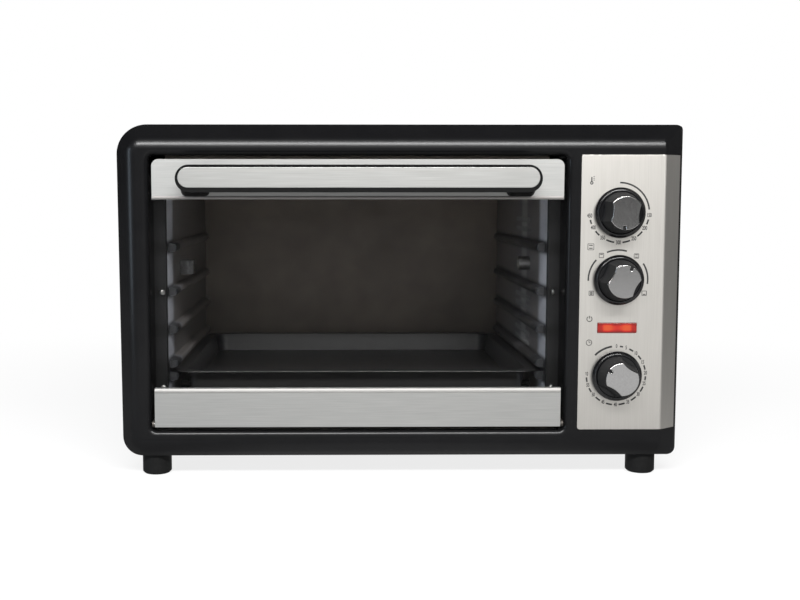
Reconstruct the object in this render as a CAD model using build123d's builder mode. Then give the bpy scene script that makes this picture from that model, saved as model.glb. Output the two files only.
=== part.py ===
from build123d import *
import os
from math import atan2, cos, degrees, radians, sin, sqrt, tan

os.makedirs("parts", exist_ok=True)

# A counter-top toaster oven in millimetres: X runs to the right, Y to the rear, Z up from the counter.

# Case, whose front outline leans in a little towards the foot
case_width = 531.4
case_height = 312.5
overall_depth = 410.0
foot_height = 20.0
left_lean = 1.8
right_lean = 0.3
left_top_corner = 28.0
left_base_corner = 18.0
right_corner = 8.0
sheet = 0.7
spacer_height = 10.0

# Clearances
fit_gap = 0.2
run_gap = 0.3
shaft_gap = 0.05

# Front bezel, a hollow moulding with a bevelled rim and a tunnel round the door
bezel_depth = 34.0
bezel_wall = 3.5
bevel_depth = 14.0
bevel_top = 17.0
bevel_left = 13.0
bevel_bottom = 8.0
crease_radius = 10.0
facet_width = 19.5
facet_angle = 36.0
facet_bend = 5.0
facet_round = 9.0
tunnel_depth = 30.0
opening_radius = 4.5
opening_edge = 6.0
wrap_tuck = 8.0

# Control panel, a thin sheet let into the bezel and bent round its right edge
mullion = 13.0
panel_base = 25.5
panel_rim = 28.5
panel_sheet = 0.8
panel_recess = 1.0
panel_wrap = 20.0
panel_corner = 2.5

# Door
door_left_margin = 34.2
control_column = 115.2
door_lift = 29.0
door_head = 32.7
door_gap = 3.5
door_proud = 2.0
top_trim_height = 37.0
bottom_trim_height = 36.8
trim_sheet = 1.0
trim_corner = 6.5
glass_thickness = 4.0
glass_side_inset = 1.6
glass_top_inset = 24.0
pin_diameter = 3.0
pin_block_length = 16.0
pin_block_height = 3.0
hinge_tab = 2.0
hinge_tab_height = 9.0

# Handle
handle_reach = 32.0
handle_margin = 26.0
handle_height = 24.8
handle_drop = 18.2
handle_thickness = 13.0
handle_edge = 3.0
handle_face_border = 2.4
handle_face_base = 4.2
handle_face_sheet = 0.8
handle_face_proud = 0.3
post_length = 26.0
post_height = 19.0
post_corner = 4.0
post_round = 8.5
post_inset = 14.5
post_drop = 6.3
post_screw_drop = 1.3
handle_screw_diameter = 4.0
handle_screw_grip = 9.0

# Controls
knob_inset = 62.8
temperature_drop = 82.1
function_drop = 144.8
timer_level = 77.1
temperature_pointer = 185.0
function_pointer = 27.0
timer_pointer = -55.0
knob_diameter = 47.0
knob_height = 24.0
skirt_height = 5.5
skirt_edge = 2.0
grip_taper = 11.0
cap_radius = 15.4
cap_half_width = 13.0
cap_waist = 11.8
cap_thickness = 1.6
cap_border = 0.7
notch_width = 2.4
notch_length = 3.6
knob_lift = 0.5
shaft_diameter = 6.0
shaft_hole = 9.0
shaft_seat = 13.0
bush_depth = 12.0
bracket_sheet = 1.2
bracket_width = 52.0
bracket_margin = 30.0
lamp_length = 36.7
lamp_height = 9.3
lamp_proud = 1.0
lamp_edge = 0.6
lamp_flange = 2.5
lamp_flange_sheet = 1.5
lamp_tube = 7.0
lamp_tube_length = 26.0
lamp_tube_depth = 9.0

# Switches behind the panel
thermostat_width = 44.0
thermostat_height = 26.0
thermostat_plate = 2.0
thermostat_diameter = 34.0
thermostat_depth = 18.0
switch_size = 42.0
switch_plate = 6.0
switch_diameter = 38.0
switch_depth = 24.0
unit_corner = 3.0
timer_diameter = 50.0
timer_depth = 26.0
bell_diameter = 44.0
bell_depth = 8.0
bell_taper = 35.0
bell_wall = 1.5
bell_post = 8.0
bell_gap = 6.0
shield_gap = 18.0
shield_length = 66.0
shield_foot = 14.0
shield_setback = 4.0

# Cavity
cavity_side_inset = 8.5
cavity_lift = 10.6
cavity_head = 12.2
cavity_rear_gap = 16.0
flange_width = 16.0
flange_bend = 2.0
rail_levels = (30.5, 43.0, 76.5, 113.5, 156.5)
rail_height = 8.5
rail_reach = 8.0
rail_taper = 6.0
rail_front = 12.0
rail_rear = 26.0
perforation = 4.6
perforation_turn = 40.0
perforation_pitch = 10.0
perforation_columns = 9
perforation_rows = 2
perforation_levels = (57.0, 94.0, 176.0)
flange_screw_inset = 21.5

# Heating elements, pan and tray
element_diameter = 6.5
element_spread = 150.0
element_drop = 14.0
element_rise = 11.0
element_tail = 14.0
insulator_diameter = 10.0
insulator_flange = 14.0
insulator_flange_sheet = 3.0
pan_side_gap = 5.0
pan_front_gap = 8.0
pan_rear_gap = 12.0
pan_depth = 20.0
pan_sheet = 0.7
pan_rim = 9.0
pan_corner = 16.0
pan_taper = 12.0
tray_side_gap = 3.0
tray_rear_gap = 6.0
tray_lip = 6.0

# Rotisserie and convection fan
spit_level = 136.0
spit_offset = -64.0
socket_diameter = 14.0
socket_reach = 12.0
socket_square = 6.5
support_reach = 14.0
support_length = 16.0
support_height = 14.0
support_slot = 8.0
spit_motor_size = 44.0
spit_motor_depth = 24.0
motor_corner = 5.0
fan_level = 57.0
fan_offset = -28.0
fan_housing_diameter = 94.0
fan_housing_depth = 20.0
fan_diameter = 80.0
fan_hub = 16.0
fan_blades = 6
fan_blade_depth = 12.0
fan_shaft = 5.0
fan_motor_size = 46.0
fan_motor_depth = 28.0

# Openings in the case and the cord gland
louvre_count = 11
louvre_pitch = 13.0
louvre_width = 4.0
louvre_height = 46.0
louvre_rear_gap = 40.0
louvre_levels = (90.0, 210.0)
base_slot_count = 9
base_slot_pitch = 30.0
vent_count = 9
vent_pitch = 9.0
vent_length = 60.0
vent_width = 3.6
vent_inset = 125.7
vent_drop = 90.0
gland_inset = 69.7
gland_level = 42.0
gland_body = 13.0
gland_flange = 19.0
gland_bore = 7.5
gland_reach = 6.0
gland_taper = 14.0

# Feet, spacers and fasteners
foot_diameter = 27.6
foot_inset = 31.8
foot_setback = 10.0
foot_rear_inset = 26.0
foot_edge = 2.0
spacer_inset = 115.7
spacer_level = 120.0
spacer_diameter = 20.0
spacer_edge = 1.5
screw_diameter = 3.4
screw_head = 7.0
screw_head_height = 2.2
screw_grip = 6.0
screw_inset = 11.0
flange_screw_head = 5.2

# Places that follow from the sizes above
case_bottom = foot_height
case_top = foot_height + case_height
trim_y = handle_reach - overall_depth / 2
face_y = trim_y + door_proud
rear_y = overall_depth / 2 - spacer_height
bezel_rear_y = face_y + bezel_depth
wrap_front_y = bezel_rear_y - wrap_tuck
wrap_inset = bezel_wall + fit_gap
flange_y = face_y + tunnel_depth
bevel_angle = degrees(atan2(bevel_top, bevel_depth))
facet_x = case_width / 2 - facet_width
facet_rise = tan(radians(facet_angle))
facet_shift = tan(radians(facet_angle / 2))

door_left = door_left_margin - case_width / 2
door_right = case_width / 2 - control_column
door_center = (door_left + door_right) / 2
door_width = door_right - door_left
door_bottom = case_bottom + door_lift
door_top = case_top - door_head
door_middle = (door_bottom + door_top) / 2
opening_width = door_width + 2 * door_gap
opening_height = door_top - door_bottom + 2 * door_gap
trim_depth = glass_thickness + 2 * trim_sheet
glass_y = trim_y + trim_sheet
hinge_y = trim_y + trim_depth / 2
hinge_z = door_bottom + trim_sheet + pin_block_height / 2
handle_z = door_top - handle_drop
handle_length = door_width - 2 * handle_margin

panel_left = door_right + door_gap + mullion
panel_bottom = case_bottom + panel_base
panel_top = case_top - panel_rim
panel_face_y = face_y + panel_recess - panel_sheet
bracket_y = face_y + bezel_wall
unit_y = bracket_y + bracket_sheet
knob_back_y = panel_face_y - knob_lift
knob_x = case_width / 2 - knob_inset
temperature_level = case_height - temperature_drop
function_level = case_height - function_drop
lamp_level = (function_level + timer_level) / 2
control_levels = (temperature_level, function_level, timer_level)
control_points = [(knob_x, case_bottom + level) for level in control_levels]
lamp_point = (knob_x, case_bottom + lamp_level)

cavity_left = door_left + cavity_side_inset
cavity_right = door_right - cavity_side_inset
cavity_width = cavity_right - cavity_left
cavity_floor = door_bottom + cavity_lift
cavity_ceiling = door_top - cavity_head
cavity_height = cavity_ceiling - cavity_floor
cavity_rear_y = rear_y - cavity_rear_gap
cavity_depth = cavity_rear_y - flange_y
cavity_middle_y = flange_y + cavity_depth / 2
wall_outer_right = cavity_right + sheet
element_ys = (cavity_middle_y - element_spread / 2, cavity_middle_y + element_spread / 2)
element_high_z = cavity_ceiling - element_drop
element_low_z = cavity_floor + element_rise
element_points = [(y, z) for y in element_ys for z in (element_high_z, element_low_z)]
rail_length = cavity_depth - rail_front - rail_rear
rail_y = flange_y + rail_front + rail_length / 2
pan_rest_z = cavity_floor + rail_levels[0] + rail_height / 2 + run_gap
pan_width = cavity_width - 2 * pan_side_gap
pan_length = cavity_depth - pan_front_gap - pan_rear_gap
pan_y = flange_y + pan_front_gap + pan_length / 2
spit_y = cavity_middle_y + spit_offset
spit_z = cavity_floor + spit_level
fan_y = cavity_middle_y + fan_offset
fan_z = cavity_floor + fan_level
fan_back_x = wall_outer_right + fan_housing_depth


def front(y):
    """Plane that faces the front of the oven at depth y, with X to the right and Z up."""
    return Plane.XZ.offset(-y)


def side(x):
    """Plane that faces the right of the oven at x, with Y to the right and Z up."""
    return Plane.YZ.offset(x)


def case_outline(inset):
    """Front outline of the case, set in all round."""
    half = case_width / 2 - inset
    with BuildSketch() as outline:
        with BuildLine():
            Polyline(
                (-half, case_top - inset),
                (half, case_top - inset),
                (half - right_lean, case_bottom + inset),
                (left_lean - half, case_bottom + inset),
                close=True,
            )
        make_face()
        fillet(outline.vertices().group_by(Axis.Y)[-1].sort_by(Axis.X)[0], left_top_corner - inset)
        fillet(outline.vertices().group_by(Axis.Y)[0].sort_by(Axis.X)[0], left_base_corner - inset)
        fillet(outline.vertices().sort_by(Axis.X)[-2:], right_corner - inset)
    return outline.sketch


def crease_outline(shift):
    """Line where the bevelled rim meets the bezel's face, open towards the right edge."""
    left = bevel_left + shift - case_width / 2
    right = case_width / 2 + bevel_top
    with BuildSketch() as outline:
        with BuildLine():
            Polyline(
                (left, case_top - bevel_top - shift),
                (right, case_top - bevel_top - shift),
                (right, case_bottom + bevel_bottom + shift),
                (left + left_lean, case_bottom + bevel_bottom + shift),
                close=True,
            )
        make_face()
        fillet(outline.vertices().sort_by(Axis.X)[:2], crease_radius)
    return outline.sketch


def facet_corner(depth):
    """Plan point where the bezel's face turns into its right facet, at a depth below the surface."""
    return (facet_x - depth * facet_shift, face_y + depth)


def bezel_form(inset):
    """Outer form of the bezel, set in by a wall: leaning sides, bevelled rim and a facet at the right."""
    slope = radians(bevel_angle)
    with BuildPart() as form:
        with BuildSketch(front(face_y + inset)):
            add(case_outline(inset))
        extrude(amount=-bezel_depth)
        with BuildSketch(front(face_y + inset)):
            add(crease_outline(inset / cos(slope) - inset * tan(slope)))
        extrude(amount=-bezel_depth, taper=-bevel_angle, mode=Mode.INTERSECT)
        right = case_width / 2 - inset
        facet_end = face_y + facet_rise * (right - facet_x) + inset / cos(radians(facet_angle))
        with BuildSketch(Plane.XY.offset(case_bottom)) as plan:
            with BuildLine():
                Polyline(
                    (-case_width / 2, face_y + inset),
                    facet_corner(inset),
                    (right, facet_end),
                    (right, face_y + 2 * bezel_depth),
                    (-case_width / 2, face_y + 2 * bezel_depth),
                    close=True,
                )
            make_face()
            fillet(plan.vertices().sort_by_distance(facet_corner(inset))[0], facet_bend - inset)
            fillet(plan.vertices().sort_by_distance((right, facet_end))[0], facet_round - inset)
        extrude(amount=case_height, mode=Mode.INTERSECT)
    return form.part


def panel_profile(outer, inner, spare):
    """Plan of the control panel between two depths below the bezel's face."""
    left = panel_left - spare
    with BuildSketch() as profile:
        with BuildLine():
            skin = PolarLine(facet_corner(outer), panel_wrap + outer * facet_shift, facet_angle)
            seat = PolarLine(facet_corner(inner), panel_wrap + inner * facet_shift, facet_angle)
            Polyline(skin @ 0, (left, face_y + outer), (left, face_y + inner), seat @ 0)
            Line(skin @ 1, seat @ 1)
        make_face()
        fillet(profile.vertices().sort_by_distance(facet_corner(outer))[0], facet_bend - outer)
        fillet(profile.vertices().sort_by_distance(facet_corner(inner))[0], facet_bend - inner)
    return profile.sketch


# Front bezel
with BuildPart() as front_bezel:
    add(bezel_form(0.0))
    add(bezel_form(bezel_wall), mode=Mode.SUBTRACT)
    with BuildSketch(front(face_y + bezel_wall)):
        with Locations((door_center, door_middle)):
            RectangleRounded(
                opening_width + 2 * bezel_wall, opening_height + 2 * bezel_wall, opening_radius + bezel_wall
            )
    extrude(amount=bezel_wall - tunnel_depth)
    with BuildSketch(front(face_y)):
        with Locations((door_center, door_middle)):
            RectangleRounded(opening_width, opening_height, opening_radius)
    extrude(amount=-tunnel_depth, mode=Mode.SUBTRACT)
    fillet(front_bezel.faces().sort_by(Axis.Y)[0].inner_wires()[0].edges(), opening_edge)
    with BuildSketch(Plane.XY.offset(panel_bottom - fit_gap)):
        add(panel_profile(-panel_recess, panel_recess, fit_gap))
    extrude(amount=panel_top - panel_bottom + 2 * fit_gap, mode=Mode.SUBTRACT)
    with BuildSketch(front(face_y)):
        with Locations(*control_points):
            Circle(shaft_hole / 2)
        with Locations(lamp_point):
            Rectangle(lamp_length + 2 * fit_gap, lamp_height + 2 * fit_gap)
    extrude(amount=-bezel_wall, mode=Mode.SUBTRACT)
front_bezel.part.label = "front_bezel"
export_step(front_bezel.part, "parts/front_bezel.step")

# Control panel
with BuildPart() as control_panel:
    with BuildSketch(Plane.XY.offset(panel_bottom)):
        add(panel_profile(panel_recess - panel_sheet, panel_recess, 0.0))
    extrude(amount=panel_top - panel_bottom)
    fillet(control_panel.edges().filter_by(Axis.Y).sort_by(Axis.X)[:2], panel_corner)
    with BuildSketch(front(face_y)):
        with Locations(*control_points):
            Circle(shaft_hole / 2)
        with Locations(lamp_point):
            Rectangle(lamp_length + 2 * fit_gap, lamp_height + 2 * fit_gap)
    extrude(amount=-bezel_wall, mode=Mode.SUBTRACT)
control_panel.part.label = "control_panel"
export_step(control_panel.part, "parts/control_panel.step")

# Outer wrap, one bent sheet over the top and both sides
base_left = left_lean - case_width / 2 + left_base_corner
base_right = case_width / 2 - right_lean - right_corner
base_z = case_bottom + wrap_inset
wrap_length = rear_y - sheet - wrap_front_y
louvre_y = rear_y - louvre_rear_gap - louvre_pitch * (louvre_count - 1) / 2
with BuildPart() as outer_wrap:
    with BuildSketch(front(wrap_front_y)):
        add(case_outline(wrap_inset))
        add(case_outline(wrap_inset + sheet), mode=Mode.SUBTRACT)
        with Locations(((base_left + base_right) / 2, base_z)):
            Rectangle(base_right - base_left, 3 * sheet, mode=Mode.SUBTRACT)
    extrude(amount=-wrap_length)
    with BuildSketch(side(cavity_right)):
        for level in louvre_levels:
            with Locations((louvre_y, case_bottom + level)):
                with GridLocations(louvre_pitch, 1, louvre_count, 1):
                    Rectangle(louvre_width, louvre_height)
    extrude(amount=case_width, mode=Mode.SUBTRACT)
outer_wrap.part.label = "outer_wrap"
export_step(outer_wrap.part, "parts/outer_wrap.step")

# Base pan, which closes the case underneath
with BuildPart() as base_pan:
    with BuildSketch(Plane.XY.offset(base_z)):
        with Locations(((base_left + base_right) / 2, wrap_front_y + wrap_length / 2)):
            Rectangle(base_right - base_left, wrap_length)
            with GridLocations(base_slot_pitch, 1, base_slot_count, 1):
                Rectangle(louvre_width, louvre_height, mode=Mode.SUBTRACT)
    extrude(amount=sheet)
base_pan.part.label = "base_pan"
export_step(base_pan.part, "parts/base_pan.step")

# Rear panel with two fields of vent slots, a hole for the cord gland and six screw holes
gland_x = case_width / 2 - gland_inset
gland_z = case_bottom + gland_level
vent_x = case_width / 2 - vent_inset
vent_z = case_top - vent_drop
rear_screw_points = [
    (x, z)
    for x in (base_left, (base_left + base_right) / 2, base_right)
    for z in (base_z + screw_inset, case_top - wrap_inset - screw_inset)
]
with BuildPart() as rear_panel:
    with BuildSketch(front(rear_y - sheet)):
        add(case_outline(wrap_inset))
        with Locations((-vent_x, vent_z), (vent_x, vent_z)):
            with GridLocations(1, vent_pitch, 1, vent_count):
                Rectangle(vent_length, vent_width, mode=Mode.SUBTRACT)
        with Locations(*rear_screw_points):
            Circle(screw_diameter / 2 + fit_gap, mode=Mode.SUBTRACT)
        with Locations((gland_x, gland_z)):
            Circle(gland_body / 2 + shaft_gap, mode=Mode.SUBTRACT)
    extrude(amount=-sheet)
rear_panel.part.label = "rear_panel"
export_step(rear_panel.part, "parts/rear_panel.step")

with BuildPart() as rear_screws:
    with BuildSketch(front(rear_y)):
        with Locations(*rear_screw_points):
            Circle(screw_head / 2)
    extrude(amount=-screw_head_height)
    with BuildSketch(front(rear_y)):
        with Locations(*rear_screw_points):
            Circle(screw_diameter / 2)
    extrude(amount=screw_grip)
rear_screws.part.label = "rear_screws"
export_step(rear_screws.part, "parts/rear_screws.step")

# Cord gland, a flanged bush that is clamped by a second flange inside
gland_end_y = rear_y - sheet - gland_reach
gland_tip = gland_flange / 2 - gland_reach * tan(radians(gland_taper))
with BuildPart() as cord_gland:
    with BuildSketch(Plane.XY.offset(gland_z)):
        with BuildLine():
            Polyline(
                (gland_x + gland_bore / 2, gland_end_y),
                (gland_x + gland_flange / 2, gland_end_y),
                (gland_x + gland_flange / 2, rear_y - sheet),
                (gland_x + gland_body / 2, rear_y - sheet),
                (gland_x + gland_body / 2, rear_y),
                (gland_x + gland_flange / 2, rear_y),
                (gland_x + gland_tip, rear_y + gland_reach),
                (gland_x + gland_bore / 2, rear_y + gland_reach),
                close=True,
            )
        make_face()
    revolve(axis=Axis((gland_x, rear_y, gland_z), (0, 1, 0)))
cord_gland.part.label = "cord_gland"
export_step(cord_gland.part, "parts/cord_gland.step")

# Rear spacers, which keep the hot case off a wall
spacer_x = case_width / 2 - spacer_inset
spacer_z = case_bottom + spacer_level
with BuildPart() as rear_spacers:
    with BuildSketch(front(rear_y)):
        with Locations((-spacer_x, spacer_z), (spacer_x, spacer_z)):
            Circle(spacer_diameter / 2)
    extrude(amount=-spacer_height)
    chamfer(rear_spacers.faces().group_by(Axis.Y)[-1].edges(), spacer_edge)
rear_spacers.part.label = "rear_spacers"
export_step(rear_spacers.part, "parts/rear_spacers.step")

# Feet: the front pair stands under the bezel, the rear pair under the wrap
foot_x = case_width / 2 - foot_inset
foot_front_y = face_y + foot_setback + foot_diameter / 2
foot_rear_y = rear_y - foot_rear_inset
with BuildPart() as feet:
    with BuildSketch(Plane.XY):
        with Locations(*[(x, y) for x in (-foot_x, foot_x) for y in (foot_front_y, foot_rear_y)]):
            Circle(foot_diameter / 2)
    extrude(amount=2 * foot_height)
    chamfer(feet.faces().group_by(Axis.Z)[0].edges(), foot_edge)
    with BuildSketch(front(face_y)):
        add(case_outline(0.0))
    extrude(amount=-2 * bezel_depth, mode=Mode.SUBTRACT)
    with BuildSketch(front(bezel_rear_y)):
        add(case_outline(wrap_inset))
    extrude(amount=-overall_depth, mode=Mode.SUBTRACT)
feet.part.label = "feet"
export_step(feet.part, "parts/feet.step")


def side_wall(turn):
    """Cavity side wall at the left (-1) or right (1): a sheet with pressed rails and a front flange."""
    inner_x = door_center + turn * cavity_width / 2
    outwards = Align.MIN if turn > 0 else Align.MAX
    with BuildPart() as wall:
        with BuildSketch(Plane.XY.offset(cavity_floor)) as plan:
            with Locations((inner_x, flange_y)):
                Rectangle(sheet, cavity_depth, align=(outwards, Align.MIN))
                Rectangle(flange_width, sheet, align=(outwards, Align.MIN))
            fillet(plan.vertices().sort_by_distance((inner_x, flange_y, 0))[0], flange_bend)
        extrude(amount=cavity_height)
        with BuildSketch(side(inner_x)):
            with Locations(*[(rail_y, cavity_floor + level) for level in rail_levels]):
                Rectangle(rail_length, rail_height)
        extrude(amount=-turn * rail_reach, taper=rail_taper)
        with BuildSketch(side(inner_x + turn * sheet)):
            with Locations(*[(rail_y, cavity_floor + level) for level in rail_levels]):
                Rectangle(rail_length - 2 * sheet, rail_height - 2 * sheet)
        extrude(amount=-turn * rail_reach, taper=rail_taper, mode=Mode.SUBTRACT)
        with BuildSketch(side(inner_x)):
            with Locations(*element_points):
                Circle(insulator_diameter / 2 + fit_gap)
        extrude(amount=turn * sheet, mode=Mode.SUBTRACT)
    return wall.part


# Cavity left wall
with BuildPart() as cavity_left_wall:
    add(side_wall(-1))
cavity_left_wall.part.label = "cavity_left_wall"
export_step(cavity_left_wall.part, "parts/cavity_left_wall.step")

# Slotted bracket on the left wall, which carries the free end of the spit
with BuildPart() as spit_support:
    with BuildSketch(side(cavity_left)):
        with Locations((spit_y, spit_z - support_slot / 2)):
            Rectangle(support_length, support_height)
    extrude(amount=support_reach)
    with BuildSketch(side(cavity_left + sheet)):
        with Locations((spit_y, spit_z - support_slot / 2)):
            Rectangle(support_length - 2 * sheet, support_height + 2 * sheet)
    extrude(amount=support_reach - 2 * sheet, mode=Mode.SUBTRACT)
    with BuildSketch(side(cavity_left + sheet)):
        with Locations((spit_y, spit_z)):
            Circle(support_slot / 2)
            Rectangle(support_slot, support_height, align=(Align.CENTER, Align.MIN))
    extrude(amount=support_reach, mode=Mode.SUBTRACT)
spit_support.part.label = "spit_support"
export_step(spit_support.part, "parts/spit_support.step")

# Cavity right wall, with the bore of the spit drive and perforated fields for the circulating air
with BuildPart() as cavity_right_wall:
    add(side_wall(1))
    with BuildSketch(side(cavity_right)):
        with Locations((spit_y, spit_z)):
            Circle(socket_diameter / 2 + shaft_gap)
        for level in perforation_levels:
            with Locations((fan_y, cavity_floor + level)):
                with GridLocations(
                    perforation_pitch, perforation_pitch, perforation_columns, perforation_rows
                ):
                    RegularPolygon(perforation / 2, 6, rotation=perforation_turn)
    extrude(amount=sheet, mode=Mode.SUBTRACT)
cavity_right_wall.part.label = "cavity_right_wall"
export_step(cavity_right_wall.part, "parts/cavity_right_wall.step")

# Cavity ceiling and floor, each with a flange that meets the bezel's tunnel
with BuildPart() as cavity_ceiling_sheet:
    with BuildSketch(side(cavity_left - sheet)):
        with Locations((flange_y, cavity_ceiling)):
            Rectangle(cavity_depth + sheet, sheet, align=(Align.MIN, Align.MIN))
            Rectangle(
                sheet,
                door_top + door_gap + bezel_wall - cavity_ceiling,
                align=(Align.MIN, Align.MIN),
            )
    extrude(amount=cavity_width + 2 * sheet)
cavity_ceiling_sheet.part.label = "cavity_ceiling"
export_step(cavity_ceiling_sheet.part, "parts/cavity_ceiling.step")

with BuildPart() as cavity_floor_sheet:
    with BuildSketch(side(cavity_left - sheet)):
        with Locations((flange_y, cavity_floor)):
            Rectangle(cavity_depth + sheet, sheet, align=(Align.MIN, Align.MAX))
            Rectangle(
                sheet,
                cavity_floor - door_bottom + door_gap + bezel_wall,
                align=(Align.MIN, Align.MAX),
            )
    extrude(amount=cavity_width + 2 * sheet)
cavity_floor_sheet.part.label = "cavity_floor"
export_step(cavity_floor_sheet.part, "parts/cavity_floor.step")

with BuildPart() as cavity_rear_wall:
    with BuildSketch(front(cavity_rear_y)):
        with Locations((door_center, cavity_floor)):
            Rectangle(cavity_width + 2 * sheet, cavity_height, align=(Align.CENTER, Align.MIN))
    extrude(amount=-sheet)
cavity_rear_wall.part.label = "cavity_rear_wall"
export_step(cavity_rear_wall.part, "parts/cavity_rear_wall.step")

# Heating elements, sheathed rods across the cavity, with ceramic insulators in the side walls
element_left = cavity_left - sheet - element_tail
element_length = cavity_width + 2 * sheet + 2 * element_tail
with BuildPart() as upper_elements:
    with BuildSketch(side(element_left)):
        with Locations(*[(y, element_high_z) for y in element_ys]):
            Circle(element_diameter / 2)
    extrude(amount=element_length)
upper_elements.part.label = "upper_elements"
export_step(upper_elements.part, "parts/upper_elements.step")

with BuildPart() as lower_elements:
    with BuildSketch(side(element_left)):
        with Locations(*[(y, element_low_z) for y in element_ys]):
            Circle(element_diameter / 2)
    extrude(amount=element_length)
lower_elements.part.label = "lower_elements"
export_step(lower_elements.part, "parts/lower_elements.step")

with BuildPart() as left_insulators:
    with BuildSketch(side(cavity_left)):
        with Locations(*element_points):
            Circle(insulator_diameter / 2)
    extrude(amount=-sheet)
    with BuildSketch(side(cavity_left - sheet)):
        with Locations(*element_points):
            Rectangle(insulator_flange, insulator_flange)
    extrude(amount=-insulator_flange_sheet)
    with BuildSketch(side(cavity_left)):
        with Locations(*element_points):
            Circle(element_diameter / 2 + shaft_gap)
    extrude(amount=-element_tail, mode=Mode.SUBTRACT)

with BuildPart() as element_insulators:
    add(left_insulators.part)
    mirror(left_insulators.part, about=Plane.YZ.offset(door_center))
element_insulators.part.label = "element_insulators"
export_step(element_insulators.part, "parts/element_insulators.step")

# Screws through the cavity's front flange
flange_screw_x = cavity_width / 2 + flange_bend + flange_screw_head / 2 + fit_gap
flange_screw_points = [
    (door_center + offset, cavity_floor + level)
    for offset in (-flange_screw_x, flange_screw_x)
    for level in (flange_screw_inset, cavity_height / 2, cavity_height - flange_screw_inset)
]
with BuildPart() as flange_screws:
    with BuildSketch(front(flange_y)):
        with Locations(*flange_screw_points):
            Circle(flange_screw_head / 2)
    extrude(amount=screw_head_height)
flange_screws.part.label = "flange_screws"
export_step(flange_screws.part, "parts/flange_screws.step")

# Crumb tray on the cavity floor
tray_width = cavity_width - 2 * tray_side_gap
tray_length = cavity_depth - pan_front_gap - tray_rear_gap
tray_z = cavity_floor + run_gap
with BuildPart() as crumb_tray:
    with BuildSketch(Plane.XY.offset(tray_z)):
        with Locations((door_center, flange_y + pan_front_gap + tray_length / 2)):
            Rectangle(tray_width, tray_length)
    extrude(amount=tray_lip)
    with BuildSketch(Plane.XY.offset(tray_z + sheet)):
        with Locations((door_center, flange_y + pan_front_gap + tray_length / 2)):
            Rectangle(tray_width - 2 * sheet, tray_length - 2 * sheet)
    extrude(amount=tray_lip, mode=Mode.SUBTRACT)
crumb_tray.part.label = "crumb_tray"
export_step(crumb_tray.part, "parts/crumb_tray.step")

# Baking pan, hung by its rim on the lowest rails
with BuildPart() as bake_pan:
    with BuildSketch(Plane.XY.offset(pan_rest_z)):
        with Locations((door_center, pan_y)):
            RectangleRounded(pan_width, pan_length, pan_corner)
    extrude(amount=pan_sheet)
    with BuildSketch(Plane.XY.offset(pan_rest_z)):
        with Locations((door_center, pan_y)):
            RectangleRounded(pan_width - 2 * pan_rim, pan_length - 2 * pan_rim, pan_corner)
    extrude(amount=-pan_depth, taper=pan_taper)
    with BuildSketch(Plane.XY.offset(pan_rest_z + pan_sheet)):
        with Locations((door_center, pan_y)):
            RectangleRounded(
                pan_width - 2 * pan_rim - 2 * pan_sheet,
                pan_length - 2 * pan_rim - 2 * pan_sheet,
                pan_corner - pan_sheet,
            )
    extrude(amount=-pan_depth, taper=pan_taper, mode=Mode.SUBTRACT)
bake_pan.part.label = "bake_pan"
export_step(bake_pan.part, "parts/bake_pan.step")

# Rotisserie drive: a gear motor on the right wall turns a square socket
with BuildPart() as rotisserie_motor:
    with BuildSketch(side(wall_outer_right)):
        with Locations((spit_y, spit_z)):
            RectangleRounded(spit_motor_size, spit_motor_size, motor_corner)
    extrude(amount=spit_motor_depth)
    with BuildSketch(side(wall_outer_right)):
        with Locations((spit_y, spit_z)):
            Circle(socket_diameter / 2 + shaft_gap)
    extrude(amount=spit_motor_depth / 2, mode=Mode.SUBTRACT)
rotisserie_motor.part.label = "rotisserie_motor"
export_step(rotisserie_motor.part, "parts/rotisserie_motor.step")

socket_length = socket_reach + sheet + spit_motor_depth / 2 - run_gap
with BuildPart() as drive_socket:
    with BuildSketch(side(cavity_right - socket_reach)):
        with Locations((spit_y, spit_z)):
            Circle(socket_diameter / 2)
    extrude(amount=socket_length)
    with BuildSketch(side(cavity_right - socket_reach)):
        with Locations((spit_y, spit_z)):
            Rectangle(socket_square, socket_square)
    extrude(amount=socket_reach, mode=Mode.SUBTRACT)
drive_socket.part.label = "drive_socket"
export_step(drive_socket.part, "parts/drive_socket.step")

# Convection fan in a drum on the outside of the right wall
with BuildPart() as fan_housing:
    with BuildSketch(side(wall_outer_right)):
        with Locations((fan_y, fan_z)):
            Circle(fan_housing_diameter / 2)
    extrude(amount=fan_housing_depth)
    with BuildSketch(side(wall_outer_right)):
        with Locations((fan_y, fan_z)):
            Circle(fan_housing_diameter / 2 - sheet)
    extrude(amount=fan_housing_depth - sheet, mode=Mode.SUBTRACT)
    with BuildSketch(side(wall_outer_right)):
        with Locations((fan_y, fan_z)):
            Circle(fan_shaft / 2 + shaft_gap)
    extrude(amount=fan_housing_depth, mode=Mode.SUBTRACT)
fan_housing.part.label = "fan_housing"
export_step(fan_housing.part, "parts/fan_housing.step")

with BuildPart() as fan_motor:
    with BuildSketch(side(fan_back_x)):
        with Locations((fan_y, fan_z)):
            RectangleRounded(fan_motor_size, fan_motor_size, motor_corner)
    extrude(amount=fan_motor_depth)
    with BuildSketch(side(fan_back_x)):
        with Locations((fan_y, fan_z)):
            Circle(fan_shaft / 2 + shaft_gap)
    extrude(amount=fan_motor_depth / 2, mode=Mode.SUBTRACT)
fan_motor.part.label = "fan_motor"
export_step(fan_motor.part, "parts/fan_motor.step")

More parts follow.
